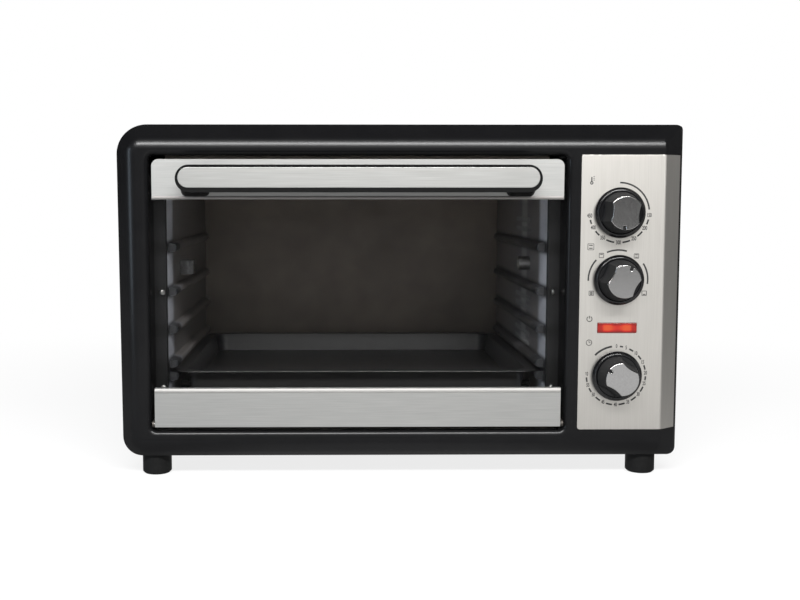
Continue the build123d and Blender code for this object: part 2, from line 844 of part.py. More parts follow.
blade_x = wall_outer_right + (fan_housing_depth - sheet - fan_blade_depth) / 2
with BuildPart() as fan_wheel:
    with BuildSketch(side(blade_x)):
        with Locations((fan_y, fan_z)):
            Circle(fan_hub / 2)
            with PolarLocations(fan_hub / 4, fan_blades):
                Rectangle(fan_diameter / 2 - fan_hub / 4, 2 * sheet, align=(Align.MIN, Align.CENTER))
    extrude(amount=fan_blade_depth)
    with BuildSketch(side(blade_x)):
        with Locations((fan_y, fan_z)):
            Circle(fan_shaft / 2)
    extrude(amount=fan_back_x + fan_motor_depth / 2 - run_gap - blade_x)
fan_wheel.part.label = "fan_wheel"
export_step(fan_wheel.part, "parts/fan_wheel.step")

# Door: glass held between two bent trims
with BuildPart() as door_glass:
    glass_low = door_bottom + trim_sheet + pin_block_height
    with BuildSketch(front(glass_y)):
        with Locations((door_center, glass_low)):
            Rectangle(
                door_width - 2 * glass_side_inset,
                door_top - glass_top_inset - glass_low,
                align=(Align.CENTER, Align.MIN),
            )
    extrude(amount=-glass_thickness)
door_glass.part.label = "door_glass"
export_step(door_glass.part, "parts/door_glass.step")

handle_screw_points = [
    (door_center + turn * (handle_length / 2 - post_inset), handle_z - post_screw_drop) for turn in (-1, 1)
]
with BuildPart() as door_top_trim:
    with BuildSketch(front(trim_y)) as outline:
        with Locations((door_center, door_top)):
            Rectangle(door_width, top_trim_height, align=(Align.CENTER, Align.MAX))
        fillet(outline.vertices().group_by(Axis.Y)[-1], trim_corner)
    extrude(amount=-trim_depth)
    with BuildSketch(front(glass_y)) as hollow:
        with Locations((door_center, door_top - trim_sheet)):
            Rectangle(
                door_width - 2 * trim_sheet, top_trim_height - trim_sheet, align=(Align.CENTER, Align.MAX)
            )
        fillet(hollow.vertices().group_by(Axis.Y)[-1], trim_corner - trim_sheet)
    extrude(amount=-glass_thickness, mode=Mode.SUBTRACT)
    with BuildSketch(front(trim_y)):
        with Locations(*handle_screw_points):
            Circle(handle_screw_diameter / 2 + fit_gap)
    extrude(amount=-trim_depth, mode=Mode.SUBTRACT)
door_top_trim.part.label = "door_top_trim"
export_step(door_top_trim.part, "parts/door_top_trim.step")

with BuildPart() as door_bottom_trim:
    with BuildSketch(front(trim_y)):
        with Locations((door_center, door_bottom)):
            Rectangle(door_width, bottom_trim_height, align=(Align.CENTER, Align.MIN))
    extrude(amount=-trim_depth)
    with BuildSketch(front(glass_y)):
        with Locations((door_center, door_bottom + trim_sheet)):
            Rectangle(
                door_width - 2 * trim_sheet, bottom_trim_height - trim_sheet, align=(Align.CENTER, Align.MIN)
            )
    extrude(amount=-glass_thickness, mode=Mode.SUBTRACT)
    with BuildSketch(side(door_left)):
        with Locations((hinge_y, hinge_z)):
            Circle(pin_diameter / 2 + shaft_gap)
    extrude(amount=door_width, mode=Mode.SUBTRACT)
door_bottom_trim.part.label = "door_bottom_trim"
export_step(door_bottom_trim.part, "parts/door_bottom_trim.step")

# Hinge pins, each with a block that is held in the bottom trim, and the steel tabs that they turn in
tab_gap = (door_gap - hinge_tab) / 2
with BuildPart() as left_pin:
    with BuildSketch(side(door_left + trim_sheet)):
        with Locations((hinge_y, hinge_z)):
            Rectangle(glass_thickness, pin_block_height)
    extrude(amount=pin_block_length)
    with BuildSketch(side(door_left + trim_sheet)):
        with Locations((hinge_y, hinge_z)):
            Circle(pin_diameter / 2)
    extrude(amount=-(trim_sheet + tab_gap + hinge_tab))

with BuildPart() as hinge_pins:
    add(left_pin.part)
    mirror(left_pin.part, about=Plane.YZ.offset(door_center))
hinge_pins.part.label = "hinge_pins"
export_step(hinge_pins.part, "parts/hinge_pins.step")

tab_nose = pin_diameter
tab_rear = flange_y - hinge_y
tab_foot = cavity_left - flange_bend - (door_left - tab_gap - hinge_tab)
with BuildPart() as left_tab:
    with BuildSketch(side(door_left - tab_gap)):
        with Locations((hinge_y, hinge_z)):
            Circle(tab_nose)
            Rectangle(tab_rear, 2 * tab_nose, align=(Align.MIN, Align.CENTER))
            Circle(pin_diameter / 2 + shaft_gap, mode=Mode.SUBTRACT)
    extrude(amount=-hinge_tab)
    with BuildSketch(front(flange_y)):
        with Locations((door_left - tab_gap - hinge_tab, hinge_z - tab_nose)):
            Rectangle(tab_foot, hinge_tab_height + tab_nose, align=(Align.MIN, Align.MIN))
    extrude(amount=hinge_tab)

with BuildPart() as hinge_brackets:
    add(left_tab.part)
    mirror(left_tab.part, about=Plane.YZ.offset(door_center))
hinge_brackets.part.label = "hinge_brackets"
export_step(hinge_brackets.part, "parts/hinge_brackets.step")

# Handle: a black bar on two posts that slant down to the trim, with a steel face let into its front
bar_front_y = trim_y - handle_reach + handle_face_proud
face_length = handle_length - 2 * handle_face_border
face_height = handle_height - handle_face_border - handle_face_base
handle_face_z = handle_z + (handle_face_base - handle_face_border) / 2
with BuildPart() as handle_bar:
    with BuildSketch(front(bar_front_y)):
        with Locations((door_center, handle_z)):
            SlotOverall(handle_length, handle_height)
    extrude(amount=-handle_thickness)
    fillet(handle_bar.faces().group_by(Axis.Y)[-1].edges(), handle_edge)
    for turn in (-1, 1):
        post_x = door_center + turn * (handle_length / 2 - post_inset)
        with BuildSketch(front(trim_y)):
            with Locations((post_x, handle_z - post_drop)):
                RectangleRounded(post_length, post_height, post_corner)
        with BuildSketch(front(bar_front_y + handle_thickness / 2)):
            with Locations((post_x, handle_z)):
                RectangleRounded(post_length, post_height, post_round)
        loft(ruled=True)
    with BuildSketch(front(bar_front_y)):
        with Locations((door_center, handle_face_z)):
            SlotOverall(face_length + 2 * fit_gap, face_height + 2 * fit_gap)
    extrude(amount=handle_face_proud - handle_face_sheet, mode=Mode.SUBTRACT)
    with BuildSketch(front(trim_y)):
        with Locations(*handle_screw_points):
            Circle(handle_screw_diameter / 2 + shaft_gap)
    extrude(amount=handle_screw_grip, mode=Mode.SUBTRACT)
handle_bar.part.label = "handle_bar"
export_step(handle_bar.part, "parts/handle_bar.step")

with BuildPart() as handle_face:
    with BuildSketch(front(bar_front_y - handle_face_proud)):
        with Locations((door_center, handle_face_z)):
            SlotOverall(face_length, face_height)
    extrude(amount=-handle_face_sheet)
handle_face.part.label = "handle_face"
export_step(handle_face.part, "parts/handle_face.step")

with BuildPart() as handle_screws:
    with BuildSketch(front(trim_y + trim_depth)):
        with Locations(*handle_screw_points):
            Circle(screw_head / 2)
    extrude(amount=-screw_head_height)
    with BuildSketch(front(trim_y + trim_depth)):
        with Locations(*handle_screw_points):
            Circle(handle_screw_diameter / 2)
    extrude(amount=trim_depth + handle_screw_grip)
handle_screws.part.label = "handle_screws"
export_step(handle_screws.part, "parts/handle_screws.step")

# Control bracket, the steel plate that carries the switches behind the panel
bracket_bottom = case_bottom + timer_level - bracket_margin
bracket_top = case_bottom + temperature_level + bracket_margin
with BuildPart() as control_bracket:
    with BuildSketch(front(bracket_y)):
        with Locations((knob_x, bracket_bottom)):
            Rectangle(bracket_width, bracket_top - bracket_bottom, align=(Align.CENTER, Align.MIN))
        with Locations(*control_points):
            Circle(shaft_hole / 2, mode=Mode.SUBTRACT)
        with Locations(lamp_point):
            Rectangle(
                lamp_length + 2 * lamp_flange + 2 * fit_gap,
                lamp_height + 2 * lamp_flange + 2 * fit_gap,
                mode=Mode.SUBTRACT,
            )
    extrude(amount=-bracket_sheet)
control_bracket.part.label = "control_bracket"
export_step(control_bracket.part, "parts/control_bracket.step")

# Thermostat, function switch and timer, each bored for its shaft
with BuildPart() as thermostat:
    with BuildSketch(front(unit_y)):
        with Locations(control_points[0]):
            RectangleRounded(thermostat_width, thermostat_height, unit_corner)
    extrude(amount=-thermostat_plate)
    with BuildSketch(front(unit_y)):
        with Locations(control_points[0]):
            Circle(thermostat_diameter / 2)
    extrude(amount=-thermostat_depth)
    with BuildSketch(front(unit_y)):
        with Locations(control_points[0]):
            Circle(shaft_diameter / 2 + shaft_gap)
    extrude(amount=-bush_depth, mode=Mode.SUBTRACT)
thermostat.part.label = "thermostat"
export_step(thermostat.part, "parts/thermostat.step")

with BuildPart() as function_switch:
    with BuildSketch(front(unit_y)):
        with Locations(control_points[1]):
            RectangleRounded(switch_size, switch_size, unit_corner)
    extrude(amount=-switch_plate)
    with BuildSketch(front(unit_y)):
        with Locations(control_points[1]):
            Circle(switch_diameter / 2)
    extrude(amount=-switch_depth)
    with BuildSketch(front(unit_y)):
        with Locations(control_points[1]):
            Circle(shaft_diameter / 2 + shaft_gap)
    extrude(amount=-bush_depth, mode=Mode.SUBTRACT)
function_switch.part.label = "function_switch"
export_step(function_switch.part, "parts/function_switch.step")

with BuildPart() as timer_unit:
    with BuildSketch(front(unit_y)):
        with Locations(control_points[2]):
            Circle(timer_diameter / 2)
    extrude(amount=-timer_depth)
    with BuildSketch(front(unit_y + timer_depth)):
        with Locations(control_points[2]):
            Circle(bell_post / 2)
    extrude(amount=-bell_gap)
    with BuildSketch(front(unit_y)):
        with Locations(control_points[2]):
            Circle(shaft_diameter / 2 + shaft_gap)
    extrude(amount=-bush_depth, mode=Mode.SUBTRACT)
timer_unit.part.label = "timer_unit"
export_step(timer_unit.part, "parts/timer_unit.step")

bell_y = unit_y + timer_depth + bell_gap
bell_spread = tan(radians(bell_taper))
bell_mouth = bell_diameter / 2 - bell_wall
bell_inside = bell_depth - bell_wall
with BuildPart() as timer_bell:
    with BuildSketch(Plane.XY.offset(case_bottom + timer_level)):
        with BuildLine():
            Polyline(
                (knob_x, bell_y),
                (knob_x + bell_post / 2, bell_y),
                (knob_x + bell_post / 2, bell_y + bell_inside),
                (knob_x + bell_mouth - bell_inside * bell_spread, bell_y + bell_inside),
                (knob_x + bell_mouth, bell_y),
                (knob_x + bell_diameter / 2, bell_y),
                (knob_x + bell_diameter / 2 - bell_depth * bell_spread, bell_y + bell_depth),
                (knob_x, bell_y + bell_depth),
                close=True,
            )
        make_face()
    revolve(axis=Axis((knob_x, bell_y, case_bottom + timer_level), (0, 1, 0)))
timer_bell.part.label = "timer_bell"
export_step(timer_bell.part, "parts/timer_bell.step")

# Indicator lens and the neon lamp behind it
with BuildPart() as indicator_lens:
    with BuildSketch(front(panel_face_y - lamp_proud)):
        with Locations(lamp_point):
            Rectangle(lamp_length, lamp_height)
    extrude(amount=panel_face_y - lamp_proud - bracket_y)
    with BuildSketch(front(bracket_y)):
        with Locations(lamp_point):
            Rectangle(lamp_length + 2 * lamp_flange, lamp_height + 2 * lamp_flange)
    extrude(amount=-lamp_flange_sheet)
    fillet(indicator_lens.faces().sort_by(Axis.Y)[0].edges(), lamp_edge)
indicator_lens.part.label = "indicator_lens"
export_step(indicator_lens.part, "parts/indicator_lens.step")

with BuildPart() as indicator_lamp:
    with BuildSketch(front(bracket_y + lamp_flange_sheet)):
        with Locations(lamp_point):
            SlotOverall(lamp_tube_length, lamp_tube)
    extrude(amount=-lamp_tube_depth)
indicator_lamp.part.label = "indicator_lamp"
export_step(indicator_lamp.part, "parts/indicator_lamp.step")

# Heat shield between the cavity and the controls, standing on the base pan
shield_x = cavity_right + shield_gap
shield_front_y = flange_y + shield_setback
with BuildPart() as heat_shield:
    with BuildSketch(front(shield_front_y)):
        with Locations((shield_x, base_z + sheet)):
            Rectangle(sheet, cavity_ceiling - base_z, align=(Align.MIN, Align.MIN))
            Rectangle(shield_foot, sheet, align=(Align.MIN, Align.MIN))
    extrude(amount=-shield_length)
heat_shield.part.label = "heat_shield"
export_step(heat_shield.part, "parts/heat_shield.step")


def waisted_outline(margin):
    """Outline of a knob's grip: round at both ends of the pointer line and drawn in at the flanks."""
    radius = cap_radius + margin
    half_width = cap_half_width + margin
    waist = cap_waist + margin
    reach = sqrt(radius**2 - half_width**2)
    with BuildSketch() as outline:
        with BuildLine():
            ThreePointArc((half_width, reach), (0, radius), (-half_width, reach))
            ThreePointArc((-half_width, reach), (-waist, 0), (-half_width, -reach))
            ThreePointArc((-half_width, -reach), (0, -radius), (half_width, -reach))
            ThreePointArc((half_width, -reach), (waist, 0), (half_width, reach))
        make_face()
    return outline.sketch


def knob_plane(level, pointer, lift):
    """Plane of a knob at a height above its back, turned so that local Y follows the pointer."""
    turn = radians(pointer)
    return Plane(
        origin=(knob_x, knob_back_y - lift, case_bottom + level),
        x_dir=(cos(turn), 0, -sin(turn)),
        z_dir=(0, -1, 0),
    )


# Knobs, with a metal cap on each grip and a steel shaft into the switch behind
grip_height = knob_height - cap_thickness - skirt_height
grip_spread = grip_height * tan(radians(grip_taper))
for knob_name, knob_level, knob_pointer in (
    ("temperature", temperature_level, temperature_pointer),
    ("function", function_level, function_pointer),
    ("timer", timer_level, timer_pointer),
):
    with BuildPart() as knob:
        with BuildSketch(knob_plane(knob_level, knob_pointer, 0.0)):
            Circle(knob_diameter / 2)
        extrude(amount=skirt_height)
        chamfer(knob.faces().sort_by(Axis.Y)[0].edges(), skirt_edge)
        with BuildSketch(knob_plane(knob_level, knob_pointer, skirt_height)):
            add(waisted_outline(cap_border + grip_spread))
        extrude(amount=grip_height, taper=grip_taper)
        with BuildSketch(knob_plane(knob_level, knob_pointer, 0.0)):
            Circle(shaft_diameter / 2 + shaft_gap)
        extrude(amount=shaft_seat, mode=Mode.SUBTRACT)
    knob.part.label = f"{knob_name}_knob"
    export_step(knob.part, f"parts/{knob_name}_knob.step")

    with BuildPart() as cap:
        with BuildSketch(knob_plane(knob_level, knob_pointer, knob_height - cap_thickness)):
            add(waisted_outline(0.0))
            with Locations((0, cap_radius)):
                Rectangle(notch_width, 2 * notch_length, mode=Mode.SUBTRACT)
        extrude(amount=cap_thickness)
    cap.part.label = f"{knob_name}_cap"
    export_step(cap.part, f"parts/{knob_name}_cap.step")

    with BuildPart() as shaft:
        with BuildSketch(knob_plane(knob_level, knob_pointer, shaft_seat)):
            Circle(shaft_diameter / 2)
        extrude(amount=knob_back_y - shaft_seat - unit_y - bush_depth + run_gap)
    shaft.part.label = f"{knob_name}_shaft"
    export_step(shaft.part, f"parts/{knob_name}_shaft.step")
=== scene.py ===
import bpy
from math import cos, pi, radians, sin
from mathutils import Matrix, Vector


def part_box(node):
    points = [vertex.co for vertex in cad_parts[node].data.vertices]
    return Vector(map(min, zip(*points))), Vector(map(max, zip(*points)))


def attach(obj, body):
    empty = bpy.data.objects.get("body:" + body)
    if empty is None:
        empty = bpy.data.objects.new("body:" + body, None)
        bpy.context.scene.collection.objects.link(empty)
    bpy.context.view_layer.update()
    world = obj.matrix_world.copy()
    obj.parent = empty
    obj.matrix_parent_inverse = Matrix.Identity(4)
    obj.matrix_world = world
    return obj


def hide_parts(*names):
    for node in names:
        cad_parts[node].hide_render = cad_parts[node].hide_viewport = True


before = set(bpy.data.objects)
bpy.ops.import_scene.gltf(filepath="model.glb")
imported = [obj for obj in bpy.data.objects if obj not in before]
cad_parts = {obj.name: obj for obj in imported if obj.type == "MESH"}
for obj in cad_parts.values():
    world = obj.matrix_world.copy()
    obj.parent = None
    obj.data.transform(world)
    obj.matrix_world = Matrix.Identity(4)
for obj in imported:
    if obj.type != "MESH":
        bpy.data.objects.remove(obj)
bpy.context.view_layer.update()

# Case: one bent sheet of steel over the top and both sides, with a base pan and a flat rear panel.
# All have a satin coat of black enamel with a faint orange-peel surface, and the rear panel is screwed on.


def fade(tree, source, low, high, start=0.0, end=1.0, ease="LINEAR"):
    """Node that carries one range of values over into another."""
    node = tree.nodes.new("ShaderNodeMapRange")
    node.interpolation_type = ease
    for socket, value in zip(("From Min", "From Max", "To Min", "To Max"), (low, high, start, end)):
        node.inputs[socket].default_value = value
    tree.links.new(source, node.inputs["Value"])
    return node.outputs["Result"]


def colour_steps(tree, source, marks):
    """Ramp with a colour, or a grey given as one number, at each position."""
    node = tree.nodes.new("ShaderNodeValToRGB")
    steps = node.color_ramp.elements
    steps[0].position, steps[1].position = marks[0][0], marks[-1][0]
    for position, _ in marks[1:-1]:
        steps.new(position)
    for step, (_, colour) in zip(steps, marks):
        step.color = (*colour, 1.0) if isinstance(colour, tuple) else (colour, colour, colour, 1.0)
    tree.links.new(source, node.inputs["Fac"])
    return node.outputs["Color"]


def surface(name, dark, light, rough, scale, bump, stretch=(1.0, 1.0, 1.0), detail=3.0, sockets={}):
    """Finish whose colour, gloss and fine relief follow one noise, drawn out where there is a grain."""
    material = bpy.data.materials.new(name)
    material.use_nodes = True
    tree = material.node_tree
    shader = tree.nodes["Principled BSDF"]
    place = tree.nodes.new("ShaderNodeTexCoord")
    grain = tree.nodes.new("ShaderNodeMapping")
    grain.inputs["Scale"].default_value = stretch
    noise = tree.nodes.new("ShaderNodeTexNoise")
    noise.inputs["Scale"].default_value = scale
    noise.inputs["Detail"].default_value = detail
    relief = tree.nodes.new("ShaderNodeBump")
    relief.inputs["Strength"].default_value = bump
    relief.inputs["Distance"].default_value = 0.0002
    tree.links.new(place.outputs["Object"], grain.inputs["Vector"])
    tree.links.new(grain.outputs["Vector"], noise.inputs["Vector"])
    tree.links.new(noise.outputs["Fac"], relief.inputs["Height"])
    tint = colour_steps(tree, noise.outputs["Fac"], ((0.3, dark), (0.7, light)))
    gloss = fade(tree, noise.outputs["Fac"], 0.0, 1.0, *rough)
    tree.links.new(tint, shader.inputs["Base Color"])
    tree.links.new(gloss, shader.inputs["Roughness"])
    tree.links.new(relief.outputs["Normal"], shader.inputs["Normal"])
    for socket, value in sockets.items():
        shader.inputs[socket].default_value = value
    return material


def pick(piece):
    """Make one piece the only one that the next operators act on."""
    if bpy.context.object and bpy.context.object.mode != "OBJECT":
        bpy.ops.object.mode_set(mode="OBJECT")
    bpy.ops.object.select_all(action="DESELECT")
    piece.select_set(True)
    bpy.context.view_layer.objects.active = piece


def lift_copy(node, name):
    """Copy a piece's solid with its facets welded into whole faces, ready for edge work."""
    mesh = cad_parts[node].data.copy()
    mesh.materials.clear()
    piece = bpy.data.objects.new(name, mesh)
    bpy.context.collection.objects.link(piece)
    pick(piece)
    bpy.ops.mesh.customdata_custom_splitnormals_clear()
    bpy.ops.object.mode_set(mode="EDIT")
    bpy.ops.mesh.select_all(action="SELECT")
    bpy.ops.mesh.remove_doubles(threshold=0.00001)
    bpy.ops.mesh.dissolve_limited(angle_limit=radians(0.3))
    bpy.ops.object.mode_set(mode="OBJECT")
    return piece


def round_edges(piece, chosen, width, steps, sharp=25):
    """Round over the sharp edges whose two ends lie in a chosen place."""
    pick(piece)
    bpy.ops.object.mode_set(mode="EDIT")
    bpy.ops.mesh.select_mode(type="EDGE")
    bpy.ops.mesh.select_all(action="DESELECT")
    bpy.ops.mesh.edges_select_sharp(sharpness=radians(sharp))
    bpy.ops.object.mode_set(mode="OBJECT")
    vertices = piece.data.vertices
    for edge in piece.data.edges:
        edge.select = edge.select and all(chosen(vertices[v].co) for v in edge.vertices)
    for vertex in vertices:
        vertex.select = False
    for polygon in piece.data.polygons:
        polygon.select = False
    bpy.ops.object.mode_set(mode="EDIT")
    bpy.ops.mesh.bevel(offset=width, segments=steps, affect="EDGES", clamp_overlap=False)
    bpy.ops.object.mode_set(mode="OBJECT")


def break_edges(piece, width, steps=2, angle=30):
    """Take the sharpness off every edge of a piece."""
    pick(piece)
    bevel = piece.modifiers.new("edge", "BEVEL")
    bevel.width = width
    bevel.segments = steps
    bevel.limit_method = "ANGLE"
    bevel.angle_limit = radians(angle)
    bpy.ops.object.modifier_apply(modifier="edge")


def fit(piece, body, slot, material, *nodes, angle=30):
    """Give a finished piece its material, its smooth shading and its place in the assembly."""
    pick(piece)
    bpy.ops.object.shade_smooth_by_angle(angle=radians(angle))
    flow = piece.modifiers.new("flow", "WEIGHTED_NORMAL")
    flow.keep_sharp = True
    bpy.ops.object.modifier_apply(modifier="flow")
    piece.data.materials.clear()
    piece.data.materials.append(material)
    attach(piece, body)
    if nodes:
        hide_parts(*nodes)


def coat(material, *nodes):
    """Give solids that keep their own mesh their finish."""
    for node in nodes:
        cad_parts[node].material_slots[0].material = material


case_enamel = surface(
    "case_enamel", (0.010, 0.010, 0.011), (0.015, 0.015, 0.016), (0.60, 0.72), 420.0, 0.10,
    sockets={"Specular IOR Level": 0.10},
)
case_wrap = lift_copy("outer_wrap", "case_wrap")
fit(case_wrap, "root", "case_black", case_enamel, "outer_wrap")
case_rear = lift_copy("rear_panel", "case_rear")
fit(case_rear, "root", "case_black", case_enamel, "rear_panel")
coat(case_enamel, "base_pan")

# Rear fittings: six plated screws with a cross recess, a black gland for the mains cord and two spacers
# that keep the hot panel off a wall. The gland is clamped in its hole by a second flange inside.
screw_plating = surface(
    "screw_plating", (0.36, 0.36, 0.35), (0.52, 0.52, 0.50), (0.28, 0.45), 900.0, 0.1,
    sockets={"Metallic": 1.0},
)


def join(pieces, name):
    """Make one piece of several."""
    bpy.ops.object.select_all(action="DESELECT")
    for piece in pieces:
        piece.select_set(True)
    bpy.context.view_layer.objects.active = pieces[0]
    bpy.ops.object.join()
    whole = bpy.context.object
    whole.name = name
    bpy.ops.object.transform_apply(location=True, rotation=True, scale=True)
    return whole


def cross_head(name, radius, height, points, facing):
    """Pan-head screws with a cross recess, on a face that looks to the rear (1) or the front (-1)."""
    bpy.ops.object.select_all(action="DESELECT")
    bpy.ops.mesh.primitive_cylinder_add(vertices=28, radius=radius, depth=height, location=(0, 0, height / 2))
    head = bpy.context.object
    bpy.ops.object.mode_set(mode="EDIT")
    bpy.ops.mesh.select_mode(type="FACE")
    bpy.ops.mesh.select_all(action="DESELECT")
    bpy.ops.object.mode_set(mode="OBJECT")
    for polygon in head.data.polygons:
        polygon.select = polygon.normal.z > 0.9
    bpy.ops.object.mode_set(mode="EDIT")
    bpy.ops.mesh.bevel(offset=height * 0.45, segments=4, affect="EDGES")
    bpy.ops.object.mode_set(mode="OBJECT")
    bpy.ops.object.transform_apply(location=True, rotation=True, scale=True)
    bars = []
    for length, width in ((1.15, 0.26), (0.26, 1.15)):
        bpy.ops.mesh.primitive_cube_add(size=1, location=(0, 0, height))
        bar = bpy.context.object
        bar.scale = (radius * length, radius * width, height * 0.9)
        bpy.ops.object.transform_apply(location=True, rotation=True, scale=True)
        bars.append(bar)
    for bar in bars:
        pick(head)
        recess = head.modifiers.new("recess", "BOOLEAN")
        recess.operation = "DIFFERENCE"
        recess.object = bar
        bpy.ops.object.modifier_apply(modifier="recess")
        bpy.data.objects.remove(bar)
    copies = []
    for index, (x, y, z) in enumerate(points):
        screw = bpy.data.objects.new(f"{name}_{index}", head.data.copy())
        bpy.context.collection.objects.link(screw)
        screw.location = (x, y, z)
        screw.rotation_euler = (-facing * pi / 2, 0, 0.4 * index)
        copies.append(screw)
    bpy.data.objects.remove(head)
    return join(copies, name)


screw_height = 0.0022
rear_radius = 0.0035
rear_low, rear_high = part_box("rear_screws")
rear_xs = (rear_low[0] + rear_radius, (rear_low[0] + rear_high[0]) / 2, rear_high[0] - rear_radius)
rear_zs = (rear_low[2] + rear_radius, rear_high[2] - rear_radius)
rear_points = [(x, rear_high[1] - screw_height, z) for x in rear_xs for z in rear_zs]
rear_heads = cross_head("rear_screw_heads", rear_radius, screw_height, rear_points, 1)
fit(rear_heads, "root", "screw_steel", screw_plating, "rear_screws")

soft_black = surface(
    "soft_black_plastic", (0.0055, 0.0055, 0.0055), (0.009, 0.009, 0.009), (0.42, 0.55), 700.0, 0.15,
    sockets={"Specular IOR Level": 0.25},
)
for node in ("cord_gland", "rear_spacers"):
    fitting = lift_copy(node, node + "_moulding")
    break_edges(fitting, 0.0006, 3)
    fit(fitting, "root", "handle_black", soft_black, node)

# Feet: four round feet of black rubber, moulded with rounded edges. The front pair stands under the bezel
# and the rear pair under the wrap.
foot_rubber = surface(
    "foot_rubber", (0.004, 0.004, 0.004), (0.007, 0.007, 0.007), (0.50, 0.65), 650.0, 0.2,
    sockets={"Specular IOR Level": 0.14},
)
foot_set = lift_copy("feet", "foot_set")
break_edges(foot_set, 0.0009, 3)
fit(foot_set, "root", "foot_black", foot_rubber, "feet")

# Cavity: five aluminised sheets, spot-welded at their edges, with pan rails pressed into both side walls
# and fields of rimmed air holes in the right one. The side walls are nearly black at the flange and carry
# painted light:
# a bright strip behind the flange as a painted highlight, painted shade deeper in and on the rails, and on
# the right wall a painted reflection streak. The ceiling, floor and rear wall have one dull brownish finish.


def reckon(tree, operation, *terms):
    """One step of arithmetic on numbers or other nodes' results."""
    node = tree.nodes.new("ShaderNodeMath")
    node.operation = operation
    for socket, term in zip(node.inputs, terms):
        if isinstance(term, float):
            socket.default_value = term
        else:
            tree.links.new(term, socket)
    return node.outputs[0]


def tinted(tree, colour, tone):
    """One colour multiplied by another."""
    node = tree.nodes.new("ShaderNodeMix")
    node.data_type = "RGBA"
    node.blend_type = "MULTIPLY"
    node.inputs["Factor"].default_value = 1.0
    tree.links.new(colour, node.inputs["A"])
    tree.links.new(tone, node.inputs["B"])
    return node.outputs["Result"]


def object_axes(tree):
    """The three coordinates of a place on the oven."""
    place = tree.nodes.new("ShaderNodeTexCoord")
    axes = tree.nodes.new("ShaderNodeSeparateXYZ")
    tree.links.new(place.outputs["Object"], axes.inputs["Vector"])
    return axes.outputs


strip_front, shade_ramp_rear = -0.142, 0.058
rail_heights = ((0.0861, 0.1066), (0.1321, 0.1401), (0.1691, 0.1771), (0.2121, 0.2201))
rail_shade_tone, rail_blur = 0.04, 0.004
wall_top = 0.3


def cavity_sheet(name, painted_reflection, rail_shade_behind):
    """Sheet nearly black at the flange, with a painted highlight strip behind it, painted shade deeper in and
    on the rails, and any painted reflection streaks given.
    """
    sheet = surface(
        name, (0.64, 0.65, 0.69), (0.76, 0.77, 0.81), (0.34, 0.44), 30.0, 0.004,
        stretch=(1.0, 1.0, 3.0), sockets={"Metallic": 0.20},
    )
    tree = sheet.node_tree
    axes = object_axes(tree)
    # Along the depth: nearly black at the flange, then a bright bluish strip that is a painted highlight,
    # then painted shade deeper in.
    strip = ((0.0, 0.010), (0.0125, 0.010), (0.0225, (0.95, 0.97, 1.0)), (0.17, (0.90, 0.92, 0.96)))
    dull = ((0.24, (0.30, 0.28, 0.26)), *painted_reflection, (1.0, (0.32, 0.29, 0.26)))
    painted_light_tone = colour_steps(tree, fade(tree, axes["Y"], strip_front, shade_ramp_rear), strip + dull)
    # Painted shade on the rails: full over the strip, and deeper in no darker than the tone given for behind
    # (none on the left wall).
    marks = [(0.0, 1.0)]
    for low, high in rail_heights:
        marks += [((low - rail_blur) / wall_top, 1.0), (low / wall_top, rail_shade_tone)]
        marks += [(high / wall_top, rail_shade_tone), ((high + rail_blur) / wall_top, 1.0)]
    rail_shade = colour_steps(tree, fade(tree, axes["Z"], 0.0, wall_top), marks + [(1.0, 1.0)])
    keep = reckon(tree, "MAXIMUM", rail_shade, fade(tree, axes["Y"], -0.108, -0.094, 0.0, rail_shade_behind))
    shader = tree.nodes["Principled BSDF"]
    bare = shader.inputs["Base Color"].links[0].from_socket
    tree.links.new(tinted(tree, bare, tinted(tree, painted_light_tone, keep)), shader.inputs["Base Color"])
    return sheet


cavity_bright = cavity_sheet("cavity_bright", (), 1.0)
# Painted reflection: a lighter streak at mid-depth on the right wall, where its rails keep some painted
# shade.
reflection_tones = ((0.53, 0.30), (0.58, 0.62), (0.68, 0.62), (0.74, 0.30))
reflection_marks = tuple((place, (tone, tone * 0.95, tone * 0.92)) for place, tone in reflection_tones)
cavity_painted_reflection = cavity_sheet("cavity_painted_reflection", reflection_marks, 0.25)
cavity_dull = surface(
    "cavity_dull", (0.17, 0.145, 0.122), (0.27, 0.23, 0.195), (0.34, 0.55), 14.0, 0.05,
    detail=6.0, sockets={"Metallic": 0.35},
)
rail_front = -0.135
for node, inner, finish in (
    ("cavity_left_wall", -0.217, cavity_bright),
    ("cavity_right_wall", 0.136, cavity_painted_reflection),
):
    wall = lift_copy(node, node + "_pressing")
    outwards = -1 if inner < 0 else 1
    round_edges(wall, lambda co: (inner - co.x) * outwards > 0 and co.y > rail_front, 0.0030, 5)
    fit(wall, "root", "cavity_steel", finish, node)
coat(cavity_dull, "cavity_ceiling", "cavity_floor", "cavity_rear_wall")

rim_steel = surface(
    "rim_steel", (0.31, 0.31, 0.30), (0.40, 0.40, 0.39), (0.30, 0.42), 300.0, 0.05, sockets={"Metallic": 0.5},
)
bpy.ops.object.select_all(action="DESELECT")
bpy.ops.mesh.primitive_torus_add(
    major_radius=0.0027, minor_radius=0.0005, major_segments=14, minor_segments=6, rotation=(0, pi / 2, 0)
)
rim = bpy.context.object
bpy.ops.object.transform_apply(location=True, rotation=True, scale=True)
bpy.ops.object.mode_set(mode="EDIT")
bpy.ops.mesh.select_all(action="SELECT")
bpy.ops.transform.resize(value=(0.8, 1, 1))
bpy.ops.object.mode_set(mode="OBJECT")
wall_x, field_y = 0.1418, -0.009
hole_pitch, hole_columns, hole_rows = 0.010, 9, 2
rims = []
for field_z in (0.1166, 0.1536, 0.2356):
    for hole in range(hole_columns * hole_rows):
        column, row = hole % hole_columns - 4, hole // hole_columns - 0.5
        copy = bpy.data.objects.new("rim_copy", rim.data.copy())
        bpy.context.collection.objects.link(copy)
        copy.location = (wall_x, field_y + column * hole_pitch, field_z + row * hole_pitch)
        rims.append(copy)
bpy.data.objects.remove(rim)
fit(join(rims, "air_hole_rims"), "root", "cavity_steel", rim_steel, angle=60)

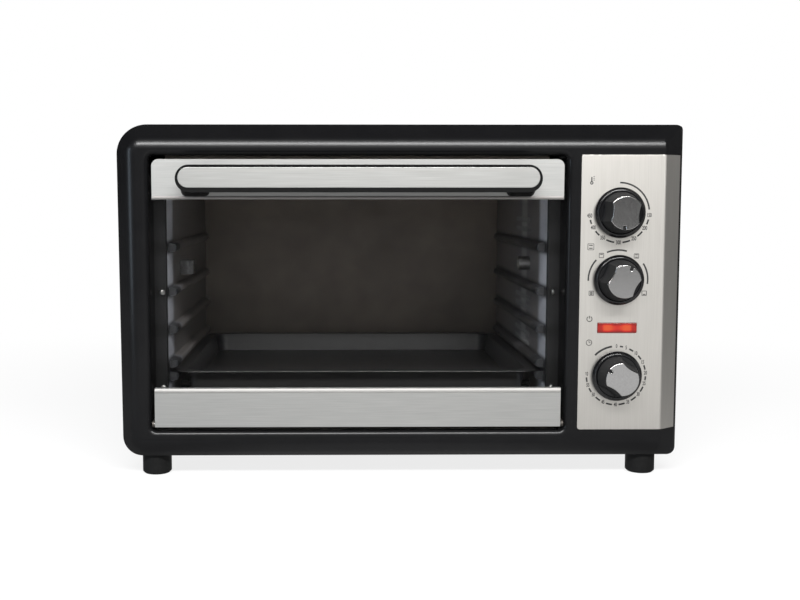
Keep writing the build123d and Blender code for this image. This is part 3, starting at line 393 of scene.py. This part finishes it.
# Heating elements: four sheathed steel rods, darkened by heat, that end in ceramic insulators with square
# flanges in the side walls. Small cross-head screws hold the cavity's flange to the bezel's tunnel.
element_sheath = surface(
    "element_sheath", (0.05, 0.045, 0.04), (0.10, 0.09, 0.08), (0.45, 0.6), 160.0, 0.1,
    sockets={"Metallic": 0.8},
)
insulator_ceramic = surface(
    "insulator_ceramic", (0.62, 0.60, 0.54), (0.74, 0.72, 0.66), (0.6, 0.75), 500.0, 0.2,
)
coat(element_sheath, "upper_elements", "lower_elements")
coat(insulator_ceramic, "element_insulators")
flange_y = -0.141
flange_radius = 0.0026
flange_low, flange_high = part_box("flange_screws")
flange_middle = (flange_low[2] + flange_high[2]) / 2
flange_xs = (flange_low[0] + flange_radius, flange_high[0] - flange_radius)
flange_zs = (flange_low[2] + flange_radius, flange_middle, flange_high[2] - flange_radius)
flange_points = [(x, flange_y, z) for x in flange_xs for z in flange_zs]
flange_heads = cross_head("flange_screw_heads", flange_radius, screw_height, flange_points, -1)
fit(flange_heads, "root", "screw_steel", screw_plating, "flange_screws")

# Rotisserie and fan: a plated bracket and a square drive socket carry the spit, and a gear motor turns it.
# The fan wheel runs in a drum behind the perforations, on its own motor.
zinc_plating = surface(
    "zinc_plating", (0.50, 0.50, 0.49), (0.64, 0.64, 0.62), (0.26, 0.42), 240.0, 0.08,
    sockets={"Metallic": 1.0},
)
motor_plating = surface(
    "motor_plating", (0.24, 0.24, 0.25), (0.34, 0.34, 0.35), (0.3, 0.45), 300.0, 0.08,
    sockets={"Metallic": 0.9},
)
bracket_steel = surface(
    "bracket_steel", (0.06, 0.06, 0.06), (0.34, 0.34, 0.34), (0.14, 0.30), 330.0, 0.30,
    sockets={"Metallic": 0.9},
)
for node, body, edge, finish in (
    ("spit_support", "root", 0.0004, bracket_steel),
    ("drive_socket", "spit_drive", 0.0006, zinc_plating),
):
    holder = lift_copy(node, node + "_plated")
    break_edges(holder, edge, 2)
    fit(holder, body, "zinc_steel", finish, node)
coat(motor_plating, "rotisserie_motor", "fan_motor")
coat(zinc_plating, "fan_housing", "fan_wheel")

# Switch gear: thermostat, function switch and timer with its brass bell sit on a plated bracket behind
# the panel, with a heat shield between them and the cavity and a neon tube behind the lens.
switch_phenolic = surface(
    "switch_phenolic", (0.030, 0.024, 0.020), (0.050, 0.040, 0.034), (0.4, 0.55), 320.0, 0.1,
)
bell_brass = surface(
    "bell_brass", (0.55, 0.42, 0.18), (0.68, 0.54, 0.26), (0.22, 0.36), 200.0, 0.06,
    sockets={"Metallic": 1.0},
)
neon_tube = surface(
    "neon_tube", (0.80, 0.36, 0.18), (0.90, 0.48, 0.26), (0.08, 0.16), 120.0, 0.02,
    sockets={"Emission Color": (1.0, 0.22, 0.05, 1.0), "Emission Strength": 0.15},
)
coat(switch_phenolic, "thermostat", "function_switch")
coat(zinc_plating, "timer_unit", "control_bracket", "heat_shield")
coat(zinc_plating, "temperature_shaft", "function_shaft", "timer_shaft")
coat(bell_brass, "timer_bell")
coat(neon_tube, "indicator_lamp")

# Pan and tray: a drawn steel pan with a black non-stick coat hangs by its rim on the lowest rails,
# and a plain folded crumb tray lies on the cavity floor.
pan_coat = surface(
    "pan_coat", (0.012, 0.012, 0.012), (0.024, 0.023, 0.022), (0.26, 0.40), 900.0, 0.15,
    sockets={"Specular IOR Level": 0.8},
)
tray_plate = surface(
    "tray_plate", (0.26, 0.25, 0.24), (0.38, 0.37, 0.35), (0.28, 0.45), 40.0, 0.05, sockets={"Metallic": 1.0},
)
pan = lift_copy("bake_pan", "baking_pan")
break_edges(pan, 0.0004, 3)
fit(pan, "pan", "pan_enamel", pan_coat, "bake_pan")
tray = lift_copy("crumb_tray", "folded_tray")
break_edges(tray, 0.0003, 2)
fit(tray, "tray", "tray_steel", tray_plate, "crumb_tray")

# Bezel: one moulding in semi-gloss black plastic, with a bevelled rim whose crease is rounded over,
# a tunnel round the door and a shallow seat for the control panel. The cavity's flange screws hold it.
bezel_plastic = surface(
    "bezel_plastic", (0.0042, 0.0042, 0.0046), (0.0050, 0.0050, 0.0054), (0.23, 0.26), 45.0, 0.001,
    sockets={"Specular IOR Level": 0.19},
)
bezel = lift_copy("front_bezel", "bezel_moulding")
front_y = -0.171
crease_top, crease_bottom, crease_left = 0.3105, 0.036, -0.245


def on_crease(co):
    """Whether a point lies on the rim's crease at the top, the bottom or the left."""
    outer = co.z > crease_top or co.z < crease_bottom or co.x < crease_left
    return outer and abs(co.y - front_y) < 0.00003


round_edges(bezel, on_crease, 0.0060, 9)
break_edges(bezel, 0.00022, 2, 40)
fit(bezel, "root", "bezel_black", bezel_plastic, "front_bezel")

# Control panel: a thin brushed stainless sheet let into the bezel and bent round its right edge.
# Its grain runs upright, and the dials, ticks and symbols are printed on it in black.
panel_steel = surface(
    "panel_steel", (0.675, 0.652, 0.610), (0.72, 0.697, 0.655), (0.36, 0.42), 26.0, 0.03,
    stretch=(60.0, 60.0, 1.0), detail=4.0, sockets={"Metallic": 1.0},
)
panel = lift_copy("control_panel", "panel_sheet")
break_edges(panel, 0.0002, 2, 50)
fit(panel, "root", "panel_steel", panel_steel, "control_panel")

dial_ink = surface("dial_ink", (0.008, 0.008, 0.008), (0.014, 0.014, 0.014), (0.6, 0.7), 900.0, 0.05)
dial_x = sum(corner[0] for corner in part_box("timer_shaft")) / 2
print_y = -0.17086
dial_radius, dial_band = 0.0279, 0.0015
temperature_z, function_z, timer_z = 0.2504, 0.1877, 0.0971
prints = []


def printed_arc(x, z, radius, width, start, end):
    """Band of ink round a dial, from one clock angle to another, clockwise from the top."""
    bpy.ops.object.select_all(action="DESELECT")
    bpy.ops.mesh.primitive_plane_add(size=width, location=(0, 0, 0))
    arc = bpy.context.object
    bpy.ops.object.mode_set(mode="EDIT")
    bpy.ops.mesh.select_mode(type="VERT")
    bpy.ops.mesh.select_all(action="DESELECT")
    bpy.ops.object.mode_set(mode="OBJECT")
    for vertex in arc.data.vertices:
        vertex.select = vertex.co.x > 0
    bpy.ops.object.mode_set(mode="EDIT")
    bpy.ops.mesh.delete(type="VERT")
    bpy.ops.mesh.select_all(action="SELECT")
    bpy.ops.transform.translate(value=(width / 2, radius, 0))
    steps = max(2, int(abs(end - start) / 3))
    bpy.ops.mesh.spin(steps=steps, angle=radians(end - start), center=(0, 0, 0), axis=(0, 0, 1))
    bpy.ops.object.mode_set(mode="OBJECT")
    arc.rotation_euler = (0, 0, -radians(start))
    bpy.ops.object.transform_apply(location=True, rotation=True, scale=True)
    arc.rotation_euler = (pi / 2, 0, 0)
    arc.location = (x, print_y, z)
    bpy.ops.object.transform_apply(location=True, rotation=True, scale=True)
    prints.append(arc)


def printed_bar(x, z, length, width, turn=0.0):
    """Straight stroke of ink with rounded corners."""
    bpy.ops.object.select_all(action="DESELECT")
    bpy.ops.mesh.primitive_plane_add(size=1, location=(0, 0, 0))
    bar = bpy.context.object
    bar.scale = (length, width, 1)
    bpy.ops.object.transform_apply(location=True, rotation=True, scale=True)
    bpy.ops.object.mode_set(mode="EDIT")
    bpy.ops.mesh.select_all(action="SELECT")
    bpy.ops.mesh.bevel(offset=width * 0.3, segments=2, affect="VERTICES")
    bpy.ops.object.mode_set(mode="OBJECT")
    bar.rotation_euler = (pi / 2, radians(turn), 0)
    bar.location = (x, print_y, z)
    bpy.ops.object.transform_apply(location=True, rotation=True, scale=True)
    prints.append(bar)


def printed_number(x, z, value, size):
    """Upright number of a dial."""
    bpy.ops.object.select_all(action="DESELECT")
    bpy.ops.object.text_add(location=(0, 0, 0))
    number = bpy.context.object
    number.data.body = value
    number.data.size = size
    number.data.offset = 0.00012
    number.data.align_x = "CENTER"
    number.data.align_y = "CENTER"
    bpy.ops.object.convert(target="MESH")
    number = bpy.context.object
    number.scale = (0.60, 1, 1)
    number.rotation_euler = (pi / 2, 0, 0)
    number.location = (x, print_y, z)
    bpy.ops.object.transform_apply(location=True, rotation=True, scale=True)
    prints.append(number)


def dial_numbers(z, marks, size, gap):
    """Numbers round a dial with a short dash midway between each pair of neighbours."""
    for angle, value in marks:
        turn = radians(angle)
        printed_number(dial_x + dial_radius * sin(turn), z + dial_radius * cos(turn), value, size)
    for (angle, _), (after, _) in zip(marks, marks[1:]):
        printed_arc(dial_x, z, dial_radius, dial_band, angle + gap, after - gap)


def gather_prints(name):
    """Join the strokes of one dial into a single printed piece."""
    ink = join(prints, name)
    prints.clear()
    fit(ink, "root", "knob_black", dial_ink)


temperature_marks = [
    (95, "150"), (121, "200"), (150, "250"), (181, "300"), (213, "350"), (240, "400"), (264, "450"),
]
printed_arc(dial_x, temperature_z, dial_radius, dial_band, 0, 84)
dial_numbers(temperature_z, temperature_marks, 0.0052, 8)
thermometer_x = 0.1765
printed_bar(thermometer_x, 0.2812, 0.0046, 0.0011, 90)
printed_arc(thermometer_x, 0.2780, 0.0011, 0.0009, 0, 360)
for rung in (0.2806, 0.2822, 0.2838):
    printed_bar(0.1786, rung, 0.0014, 0.0005)
gather_prints("temperature_dial_print")

for start, end in ((-92, -48), (-23, 16), (57, 98)):
    printed_arc(dial_x, function_z, dial_radius, dial_band, start, end)


def oven_symbol(x, z, size, bars):
    """Square outline of an oven with a bar for each heater that is on."""
    for turn, dx, dz in ((0, 0, 0.5), (0, 0, -0.5), (90, 0.5, 0), (90, -0.5, 0)):
        printed_bar(x + dx * size, z + dz * size, size, 0.0005, turn)
    for level in bars:
        printed_bar(x, z + level * size, size * 0.62, 0.0008)


for angle, bars in ((-35, (0.26,)), (37, (0.26, -0.26)), (117, (-0.26,)), (-117, (0.26, 0.0, -0.26))):
    turn = radians(angle)
    oven_symbol(dial_x + dial_radius * sin(turn), function_z + dial_radius * cos(turn), 0.0042, bars)
symbol_x = 0.1768
oven_symbol(symbol_x, 0.2186, 0.0056, (0.24, -0.24))
gather_prints("function_dial_print")

timer_marks = [
    (0, "0"), (19, "5"), (41, "10"), (63, "15"), (85, "20"), (106, "25"), (130, "30"),
    (155, "35"), (180, "40"), (205, "45"), (229, "50"), (251, "55"), (273, "60"),
]
printed_arc(dial_x, timer_z, dial_radius, 0.0018, -46, -9)
dial_numbers(timer_z, timer_marks, 0.0050, 6.5)
clock_z, standby_z = 0.1284, 0.1508
printed_arc(symbol_x, clock_z, 0.0026, 0.0006, 0, 360)
printed_bar(symbol_x, clock_z + 0.0009, 0.0018, 0.0005, 90)
printed_bar(symbol_x + 0.0007, clock_z, 0.0014, 0.0005)
printed_arc(symbol_x, standby_z, 0.0024, 0.0007, 28, 332)
printed_bar(symbol_x, standby_z + 0.0017, 0.0026, 0.0007, 90)
gather_prints("timer_dial_print")

# Indicator: a red lens of clear plastic, moulded with a flange and pressed through the panel from behind.
# The neon tube's light through it is painted on the lens as an emitted glow with two bright places.
lens_red = surface(
    "lens_red", (0.10, 0.003, 0.002), (0.14, 0.005, 0.003), (0.10, 0.16), 300.0, 0.03,
)
lens_z, spot_x = 0.1425, 0.0092
lens_tree = lens_red.node_tree
lens_shader = lens_tree.nodes["Principled BSDF"]
lens_place = lens_tree.nodes.new("ShaderNodeTexCoord")
lens_centre = lens_tree.nodes.new("ShaderNodeMapping")
lens_centre.inputs["Location"].default_value = (-dial_x, 0, -lens_z)
lens_axes = lens_tree.nodes.new("ShaderNodeSeparateXYZ")
lens_tree.links.new(lens_place.outputs["Object"], lens_centre.inputs["Vector"])
lens_tree.links.new(lens_centre.outputs["Vector"], lens_axes.inputs["Vector"])
lens_side = reckon(lens_tree, "ABSOLUTE", lens_axes.outputs["X"])
lens_height = reckon(lens_tree, "ABSOLUTE", lens_axes.outputs["Z"])
lens_reach = reckon(lens_tree, "ABSOLUTE", reckon(lens_tree, "SUBTRACT", lens_side, spot_x))
lens_spot = fade(lens_tree, lens_reach, 0.0, 0.0095, 1.0, 0.62, "SMOOTHERSTEP")
lens_swell = reckon(lens_tree, "MULTIPLY", lens_spot, 0.0023)
lens_inset = reckon(lens_tree, "SUBTRACT", lens_height, lens_swell)
lens_edge = fade(lens_tree, lens_inset, -0.0002, 0.0019, 1.0, 0.02)
lens_end = fade(lens_tree, lens_side, 0.0126, 0.0145, 1.0, 0.42)
lens_glow = reckon(lens_tree, "MULTIPLY", reckon(lens_tree, "MULTIPLY", lens_spot, lens_edge), lens_end)
lens_tones = ((0.0, (0.05, 0.001, 0.001)), (0.6, (0.80, 0.025, 0.012)), (1.0, (1.0, 0.17, 0.03)))
# Painted glow of the neon tube's light, given as emission on the lens.
lens_tree.links.new(colour_steps(lens_tree, lens_glow, lens_tones), lens_shader.inputs["Emission Color"])
lens_shader.inputs["Emission Strength"].default_value = 0.47
lens = lift_copy("indicator_lens", "indicator_lens_moulding")
break_edges(lens, 0.0003, 2)
fit(lens, "root", "lens_red", lens_red, "indicator_lens")

# Knobs: black mouldings with a glossy, lipped skirt and a satin grip drawn in at both flanks, each with
# a spun aluminium cap pressed into its top and a notch at the pointer. Pushed onto their switch shafts.
knob_gloss = surface(
    "knob_gloss", (0.0035, 0.0035, 0.004), (0.005, 0.005, 0.0055), (0.85, 0.17), 500.0, 0.005,
    sockets={"Specular IOR Level": 0.40},
)
satin_y, glossy_y = -0.1785, -0.1772
knob_tree = knob_gloss.node_tree
knob_sheen = knob_tree.nodes["Principled BSDF"].inputs["Roughness"].links[0].from_node
knob_sheen.inputs["From Min"].default_value = satin_y
knob_sheen.inputs["From Max"].default_value = glossy_y
knob_tree.links.new(object_axes(knob_tree)["Y"], knob_sheen.inputs["Value"])
cap_metal = surface(
    "cap_metal", (0.47, 0.465, 0.46), (0.53, 0.525, 0.52), (0.14, 0.20), 700.0, 0.02,
    sockets={"Metallic": 1.0},
)
lip_gloss = surface(
    "lip_gloss", (0.004, 0.004, 0.0045), (0.006, 0.006, 0.0065), (0.10, 0.16), 500.0, 0.005,
    sockets={"Specular IOR Level": 0.55},
)
skirt_y = -0.1766
for control, dial_z in (("temperature", temperature_z), ("function", function_z), ("timer", timer_z)):
    bpy.ops.object.select_all(action="DESELECT")
    bpy.ops.mesh.primitive_torus_add(
        major_radius=0.0206, minor_radius=0.0012, major_segments=72, minor_segments=12,
        rotation=(pi / 2, 0, 0),
    )
    lip = bpy.context.object
    lip.name = control + "_skirt_lip"
    lip.scale = (1, 1, 0.7)
    lip.location = (dial_x, skirt_y, dial_z)
    bpy.ops.object.transform_apply(location=True, rotation=True, scale=True)
    fit(lip, control + "_control", "knob_black", lip_gloss, angle=60)
    knob = lift_copy(control + "_knob", control + "_knob_moulding")
    break_edges(knob, 0.0011, 4, 20)
    fit(knob, control + "_control", "knob_black", knob_gloss, control + "_knob", angle=35)
    cap = lift_copy(control + "_cap", control + "_cap_disc")
    break_edges(cap, 0.0006, 3)
    fit(cap, control + "_control", "knob_cap", cap_metal, control + "_cap")

# Door: a pane of clear tempered glass held between two folded stainless trims with hemmed edges.
# It turns on two steel pins at its foot, which run in tabs on the cavity's flange.
trim_steel = surface(
    "trim_steel", (0.42, 0.42, 0.41), (0.485, 0.485, 0.47), (0.40, 0.48), 26.0, 0.04,
    stretch=(1.0, 60.0, 60.0), detail=4.0, sockets={"Metallic": 0.9},
)
for node in ("door_top_trim", "door_bottom_trim"):
    trim = lift_copy(node, node + "_folded")
    break_edges(trim, 0.0008, 4)
    fit(trim, "door", "trim_steel", trim_steel, node)

hem_length, hem_x, hem_y = 0.3816, -0.0405, -0.17265


def hem(name, level, radius, finish):
    """Rolled hem along a trim's edge beside the glass."""
    bpy.ops.object.select_all(action="DESELECT")
    bpy.ops.mesh.primitive_cylinder_add(
        vertices=20, radius=radius, depth=hem_length, location=(hem_x, hem_y, level), rotation=(0, pi / 2, 0)
    )
    bead = bpy.context.object
    bead.scale = (1, 0.6, 1)
    bpy.ops.object.transform_apply(location=True, rotation=True, scale=True)
    break_edges(bead, 0.0003, 2, 50)
    fit(bead, "door", "trim_steel", finish)


# The top hem lies under the handle and gets a darker copy of the trim steel as painted shade; the bottom hem
# gets a slightly lighter copy as painted light.
hem_painted_shade = surface(
    "hem_painted_shade", (0.28, 0.265, 0.255), (0.34, 0.325, 0.315), (0.62, 0.70), 26.0, 0.04,
    stretch=(1.0, 60.0, 60.0), detail=4.0, sockets={"Metallic": 0.9},
)
hem_painted_light = surface(
    "hem_painted_light", (0.44, 0.43, 0.415), (0.50, 0.49, 0.475), (0.66, 0.74), 26.0, 0.04,
    stretch=(1.0, 60.0, 60.0), detail=4.0, sockets={"Metallic": 0.9},
)
hem("top_trim_hem", 0.2644, 0.0016, hem_painted_shade)
hem("bottom_trim_hem", 0.0836, 0.0022, hem_painted_light)

glass = bpy.data.materials.new("oven_glass")
glass.use_nodes = True
glass_tree = glass.node_tree
glass_shader = glass_tree.nodes["Principled BSDF"]
glass_shader.inputs["Base Color"].default_value = (0.006, 0.006, 0.006, 1.0)
glass_shader.inputs["Alpha"].default_value = 0.12
glass_shader.inputs["Specular IOR Level"].default_value = 0.16
glass_place = glass_tree.nodes.new("ShaderNodeTexCoord")
glass_haze = glass_tree.nodes.new("ShaderNodeTexNoise")
glass_haze.inputs["Scale"].default_value = 9.0
glass_tree.links.new(glass_place.outputs["Object"], glass_haze.inputs["Vector"])
glass_film = fade(glass_tree, glass_haze.outputs["Fac"], 0.0, 1.0, 0.02, 0.06)
glass_tree.links.new(glass_film, glass_shader.inputs["Roughness"])
pane = lift_copy("door_glass", "door_pane")
break_edges(pane, 0.0004, 2)
fit(pane, "door", "door_glass", glass, "door_glass")
coat(zinc_plating, "hinge_pins")
coat(element_sheath, "hinge_brackets")
coat(screw_plating, "handle_screws")

# Handle: a satin black bar on two posts, moulded in one piece and screwed on from inside the trim,
# with a brushed stainless strip let into its front.
handle_steel = surface(
    "handle_steel", (0.43, 0.43, 0.415), (0.495, 0.495, 0.48), (0.38, 0.46), 26.0, 0.03,
    stretch=(1.0, 60.0, 60.0), detail=4.0, sockets={"Metallic": 1.0},
)
handle_plastic = surface(
    "handle_plastic", (0.0035, 0.0035, 0.0035), (0.006, 0.006, 0.006), (0.42, 0.52), 700.0, 0.10,
    sockets={"Specular IOR Level": 0.08},
)
handle = lift_copy("handle_bar", "handle_moulding")
break_edges(handle, 0.0005, 3)
fit(handle, "door", "handle_black", handle_plastic, "handle_bar")
strip = lift_copy("handle_face", "handle_strip")
break_edges(strip, 0.0003, 3)
fit(strip, "door", "handle_steel", handle_steel, "handle_face")

# Studio: a pale floor that keeps the soft shadow and a white surround, both with set tones for mirrored
# rays, a long strip softbox above the front and a weak one at the left.
floor_white = bpy.data.materials.new("floor_white")
floor_white.use_nodes = True
floor_tree = floor_white.node_tree
floor_tree.nodes.remove(floor_tree.nodes["Principled BSDF"])
floor_paint = floor_tree.nodes.new("ShaderNodeBsdfDiffuse")
floor_paint.inputs["Color"].default_value = (0.82, 0.82, 0.82, 1.0)
floor_glow = floor_tree.nodes.new("ShaderNodeEmission")
floor_rays = floor_tree.nodes.new("ShaderNodeLightPath").outputs
floor_place = floor_tree.nodes.new("ShaderNodeTexCoord")
floor_length = floor_tree.nodes.new("ShaderNodeVectorMath")
floor_length.operation = "LENGTH"
floor_tree.links.new(floor_place.outputs["Object"], floor_length.inputs[0])
floor_reach = floor_length.outputs["Value"]
floor_axes = object_axes(floor_tree)
# For mirrored rays the floor's glow is set in bands: bright just round the oven, a dark ring about 0.3 to 0.6
# m out as painted shade, bright again beyond, fading far away and dimmer towards the sides.
floor_tones = (
    (0.03, 0.90), (0.042, 0.22), (0.065, 0.34), (0.11, 0.78), (0.35, 0.68), (0.6, 0.28), (1.0, 0.08),
)
floor_dim = colour_steps(floor_tree, fade(floor_tree, floor_reach, 0.0, 7.0), floor_tones)
floor_slant = reckon(floor_tree, "MULTIPLY_ADD", floor_axes["Y"], 0.75, floor_axes["X"])
floor_left = fade(floor_tree, floor_axes["X"], -0.75, -0.20, 0.45, 1.0)
floor_right = fade(floor_tree, floor_slant, 0.12, 0.40, 1.0, 0.25)
floor_sides = reckon(floor_tree, "MULTIPLY", floor_left, floor_right)
floor_tone = reckon(floor_tree, "MULTIPLY", floor_dim, floor_sides)
floor_mirror = reckon(floor_tree, "MULTIPLY", floor_rays["Is Glossy Ray"], floor_tone)
floor_level = reckon(floor_tree, "MAXIMUM", floor_mirror, floor_rays["Is Camera Ray"])
floor_seen = reckon(floor_tree, "MAXIMUM", floor_rays["Is Camera Ray"], floor_rays["Is Glossy Ray"])
floor_shown = reckon(floor_tree, "MAXIMUM", floor_seen, floor_rays["Is Transmission Ray"])
floor_fade = fade(floor_tree, floor_reach, 0.35, 1.1, 0.82, 1.0, "SMOOTHSTEP")
floor_share = reckon(floor_tree, "MULTIPLY", floor_shown, floor_fade)
floor_mix = floor_tree.nodes.new("ShaderNodeMixShader")
floor_tree.links.new(floor_level, floor_glow.inputs["Strength"])
floor_tree.links.new(floor_share, floor_mix.inputs["Fac"])
floor_tree.links.new(floor_paint.outputs["BSDF"], floor_mix.inputs[1])
floor_tree.links.new(floor_glow.outputs["Emission"], floor_mix.inputs[2])
floor_tree.links.new(floor_mix.outputs["Shader"], floor_tree.nodes["Material Output"].inputs["Surface"])
bpy.ops.object.select_all(action="DESELECT")
bpy.ops.mesh.primitive_plane_add(size=14, location=(0, 0, 0))
floor = bpy.context.object
floor.name = "studio_floor"
floor.data.materials.append(floor_white)

world = bpy.data.worlds.new("studio_surround")
world.use_nodes = True
bpy.context.scene.world = world
sky_tree = world.node_tree
sky = sky_tree.nodes["Background"]
sky.inputs["Color"].default_value = (1.0, 1.0, 1.0, 1.0)
sky_place = sky_tree.nodes.new("ShaderNodeTexCoord")
sky_axes = sky_tree.nodes.new("ShaderNodeSeparateXYZ")
sky_tree.links.new(sky_place.outputs["Generated"], sky_axes.inputs["Vector"])
sky_x, sky_y, sky_z = sky_axes.outputs
sky_rays = sky_tree.nodes.new("ShaderNodeLightPath").outputs


def sky_fade(source, low, high, start, end):
    """Smooth change of the surround's brightness along one direction."""
    return fade(sky_tree, source, low, high, start, end, "SMOOTHSTEP")


def sky_reckon(operation, *terms):
    """One step of arithmetic on the surround's brightness."""
    return reckon(sky_tree, operation, *terms)


sky_left = sky_fade(sky_x, -0.40, 0.06, 0.22, 1.0)
sky_side = sky_reckon("MULTIPLY", sky_fade(sky_reckon("ABSOLUTE", sky_y), 0.45, 0.92, 0.08, 1.0), sky_left)
sky_right = sky_fade(sky_x, 0.30, 0.62, 1.0, 0.30)
sky_edge = sky_fade(sky_x, 0.84, 0.97, 0.0, 0.20)
sky_turn = sky_reckon("ADD", sky_reckon("MULTIPLY", sky_side, sky_right), sky_edge)
sky_wall = sky_reckon("MULTIPLY", sky_turn, sky_fade(sky_y, -0.5, 0.1, 0.5, 1.0))
sky_low = sky_fade(sky_z, 0.02, 0.24, 0.09, 3.1)
sky_band = sky_reckon("MAXIMUM", sky_low, sky_fade(sky_y, -0.2, 0.2, 0.0, 1.0))
sky_high = sky_fade(sky_z, 0.30, 0.75, 1.0, 0.12)
sky_mirror = sky_reckon("MULTIPLY", sky_reckon("MULTIPLY", sky_wall, sky_band), sky_high)
sky_soft = sky_reckon("MULTIPLY", sky_reckon("SUBTRACT", 1.0, sky_rays["Is Glossy Ray"]), 0.30)
sky_inner = sky_reckon("ADD", sky_reckon("MULTIPLY", sky_mirror, sky_rays["Is Glossy Ray"]), sky_soft)
sky_seen = sky_reckon("MAXIMUM", sky_rays["Is Camera Ray"], sky_rays["Is Transmission Ray"])
sky_tree.links.new(sky_reckon("MAXIMUM", sky_inner, sky_seen), sky.inputs["Strength"])


def softbox(name, place, aim, size, power, colour=(1.0, 1.0, 1.0)):
    """Rectangular studio lamp pointed at a place on the oven."""
    lamp = bpy.data.lights.new(name, "AREA")
    lamp.shape = "RECTANGLE"
    lamp.size, lamp.size_y = size
    lamp.energy = power
    holder = bpy.data.objects.new(name, lamp)
    bpy.context.collection.objects.link(holder)
    holder.location = place
    reach = holder.location.copy()
    reach.x, reach.y, reach.z = aim[0] - place[0], aim[1] - place[1], aim[2] - place[2]
    holder.rotation_euler = reach.to_track_quat("-Z", "Y").to_euler()
    lamp.color = colour


softbox("front_softbox", (0.0, -1.8, 1.55), (0.0, -0.1, 0.15), (2.0, 0.30), 95.0)
softbox("left_softbox", (-1.35, -1.05, 0.40), (-0.2, -0.1, 0.15), (0.22, 0.75), 4.0, (0.72, 0.86, 1.0))

camera = bpy.data.cameras.new("photo_view")
camera.sensor_width = 36.0
camera.lens = 49.16
camera.shift_x = 0.070
camera.shift_y = -0.0136
camera_stand = bpy.data.objects.new("photo_view", camera)
bpy.context.collection.objects.link(camera_stand)
camera_stand.location = (-0.0651, -1.1877, 0.2678)
camera_stand.rotation_euler = (radians(90 - 4.98), 0, radians(-0.643))
bpy.context.scene.camera = camera_stand
bpy.context.scene.view_settings.view_transform = "Standard"

bpy.context.view_layer.update()
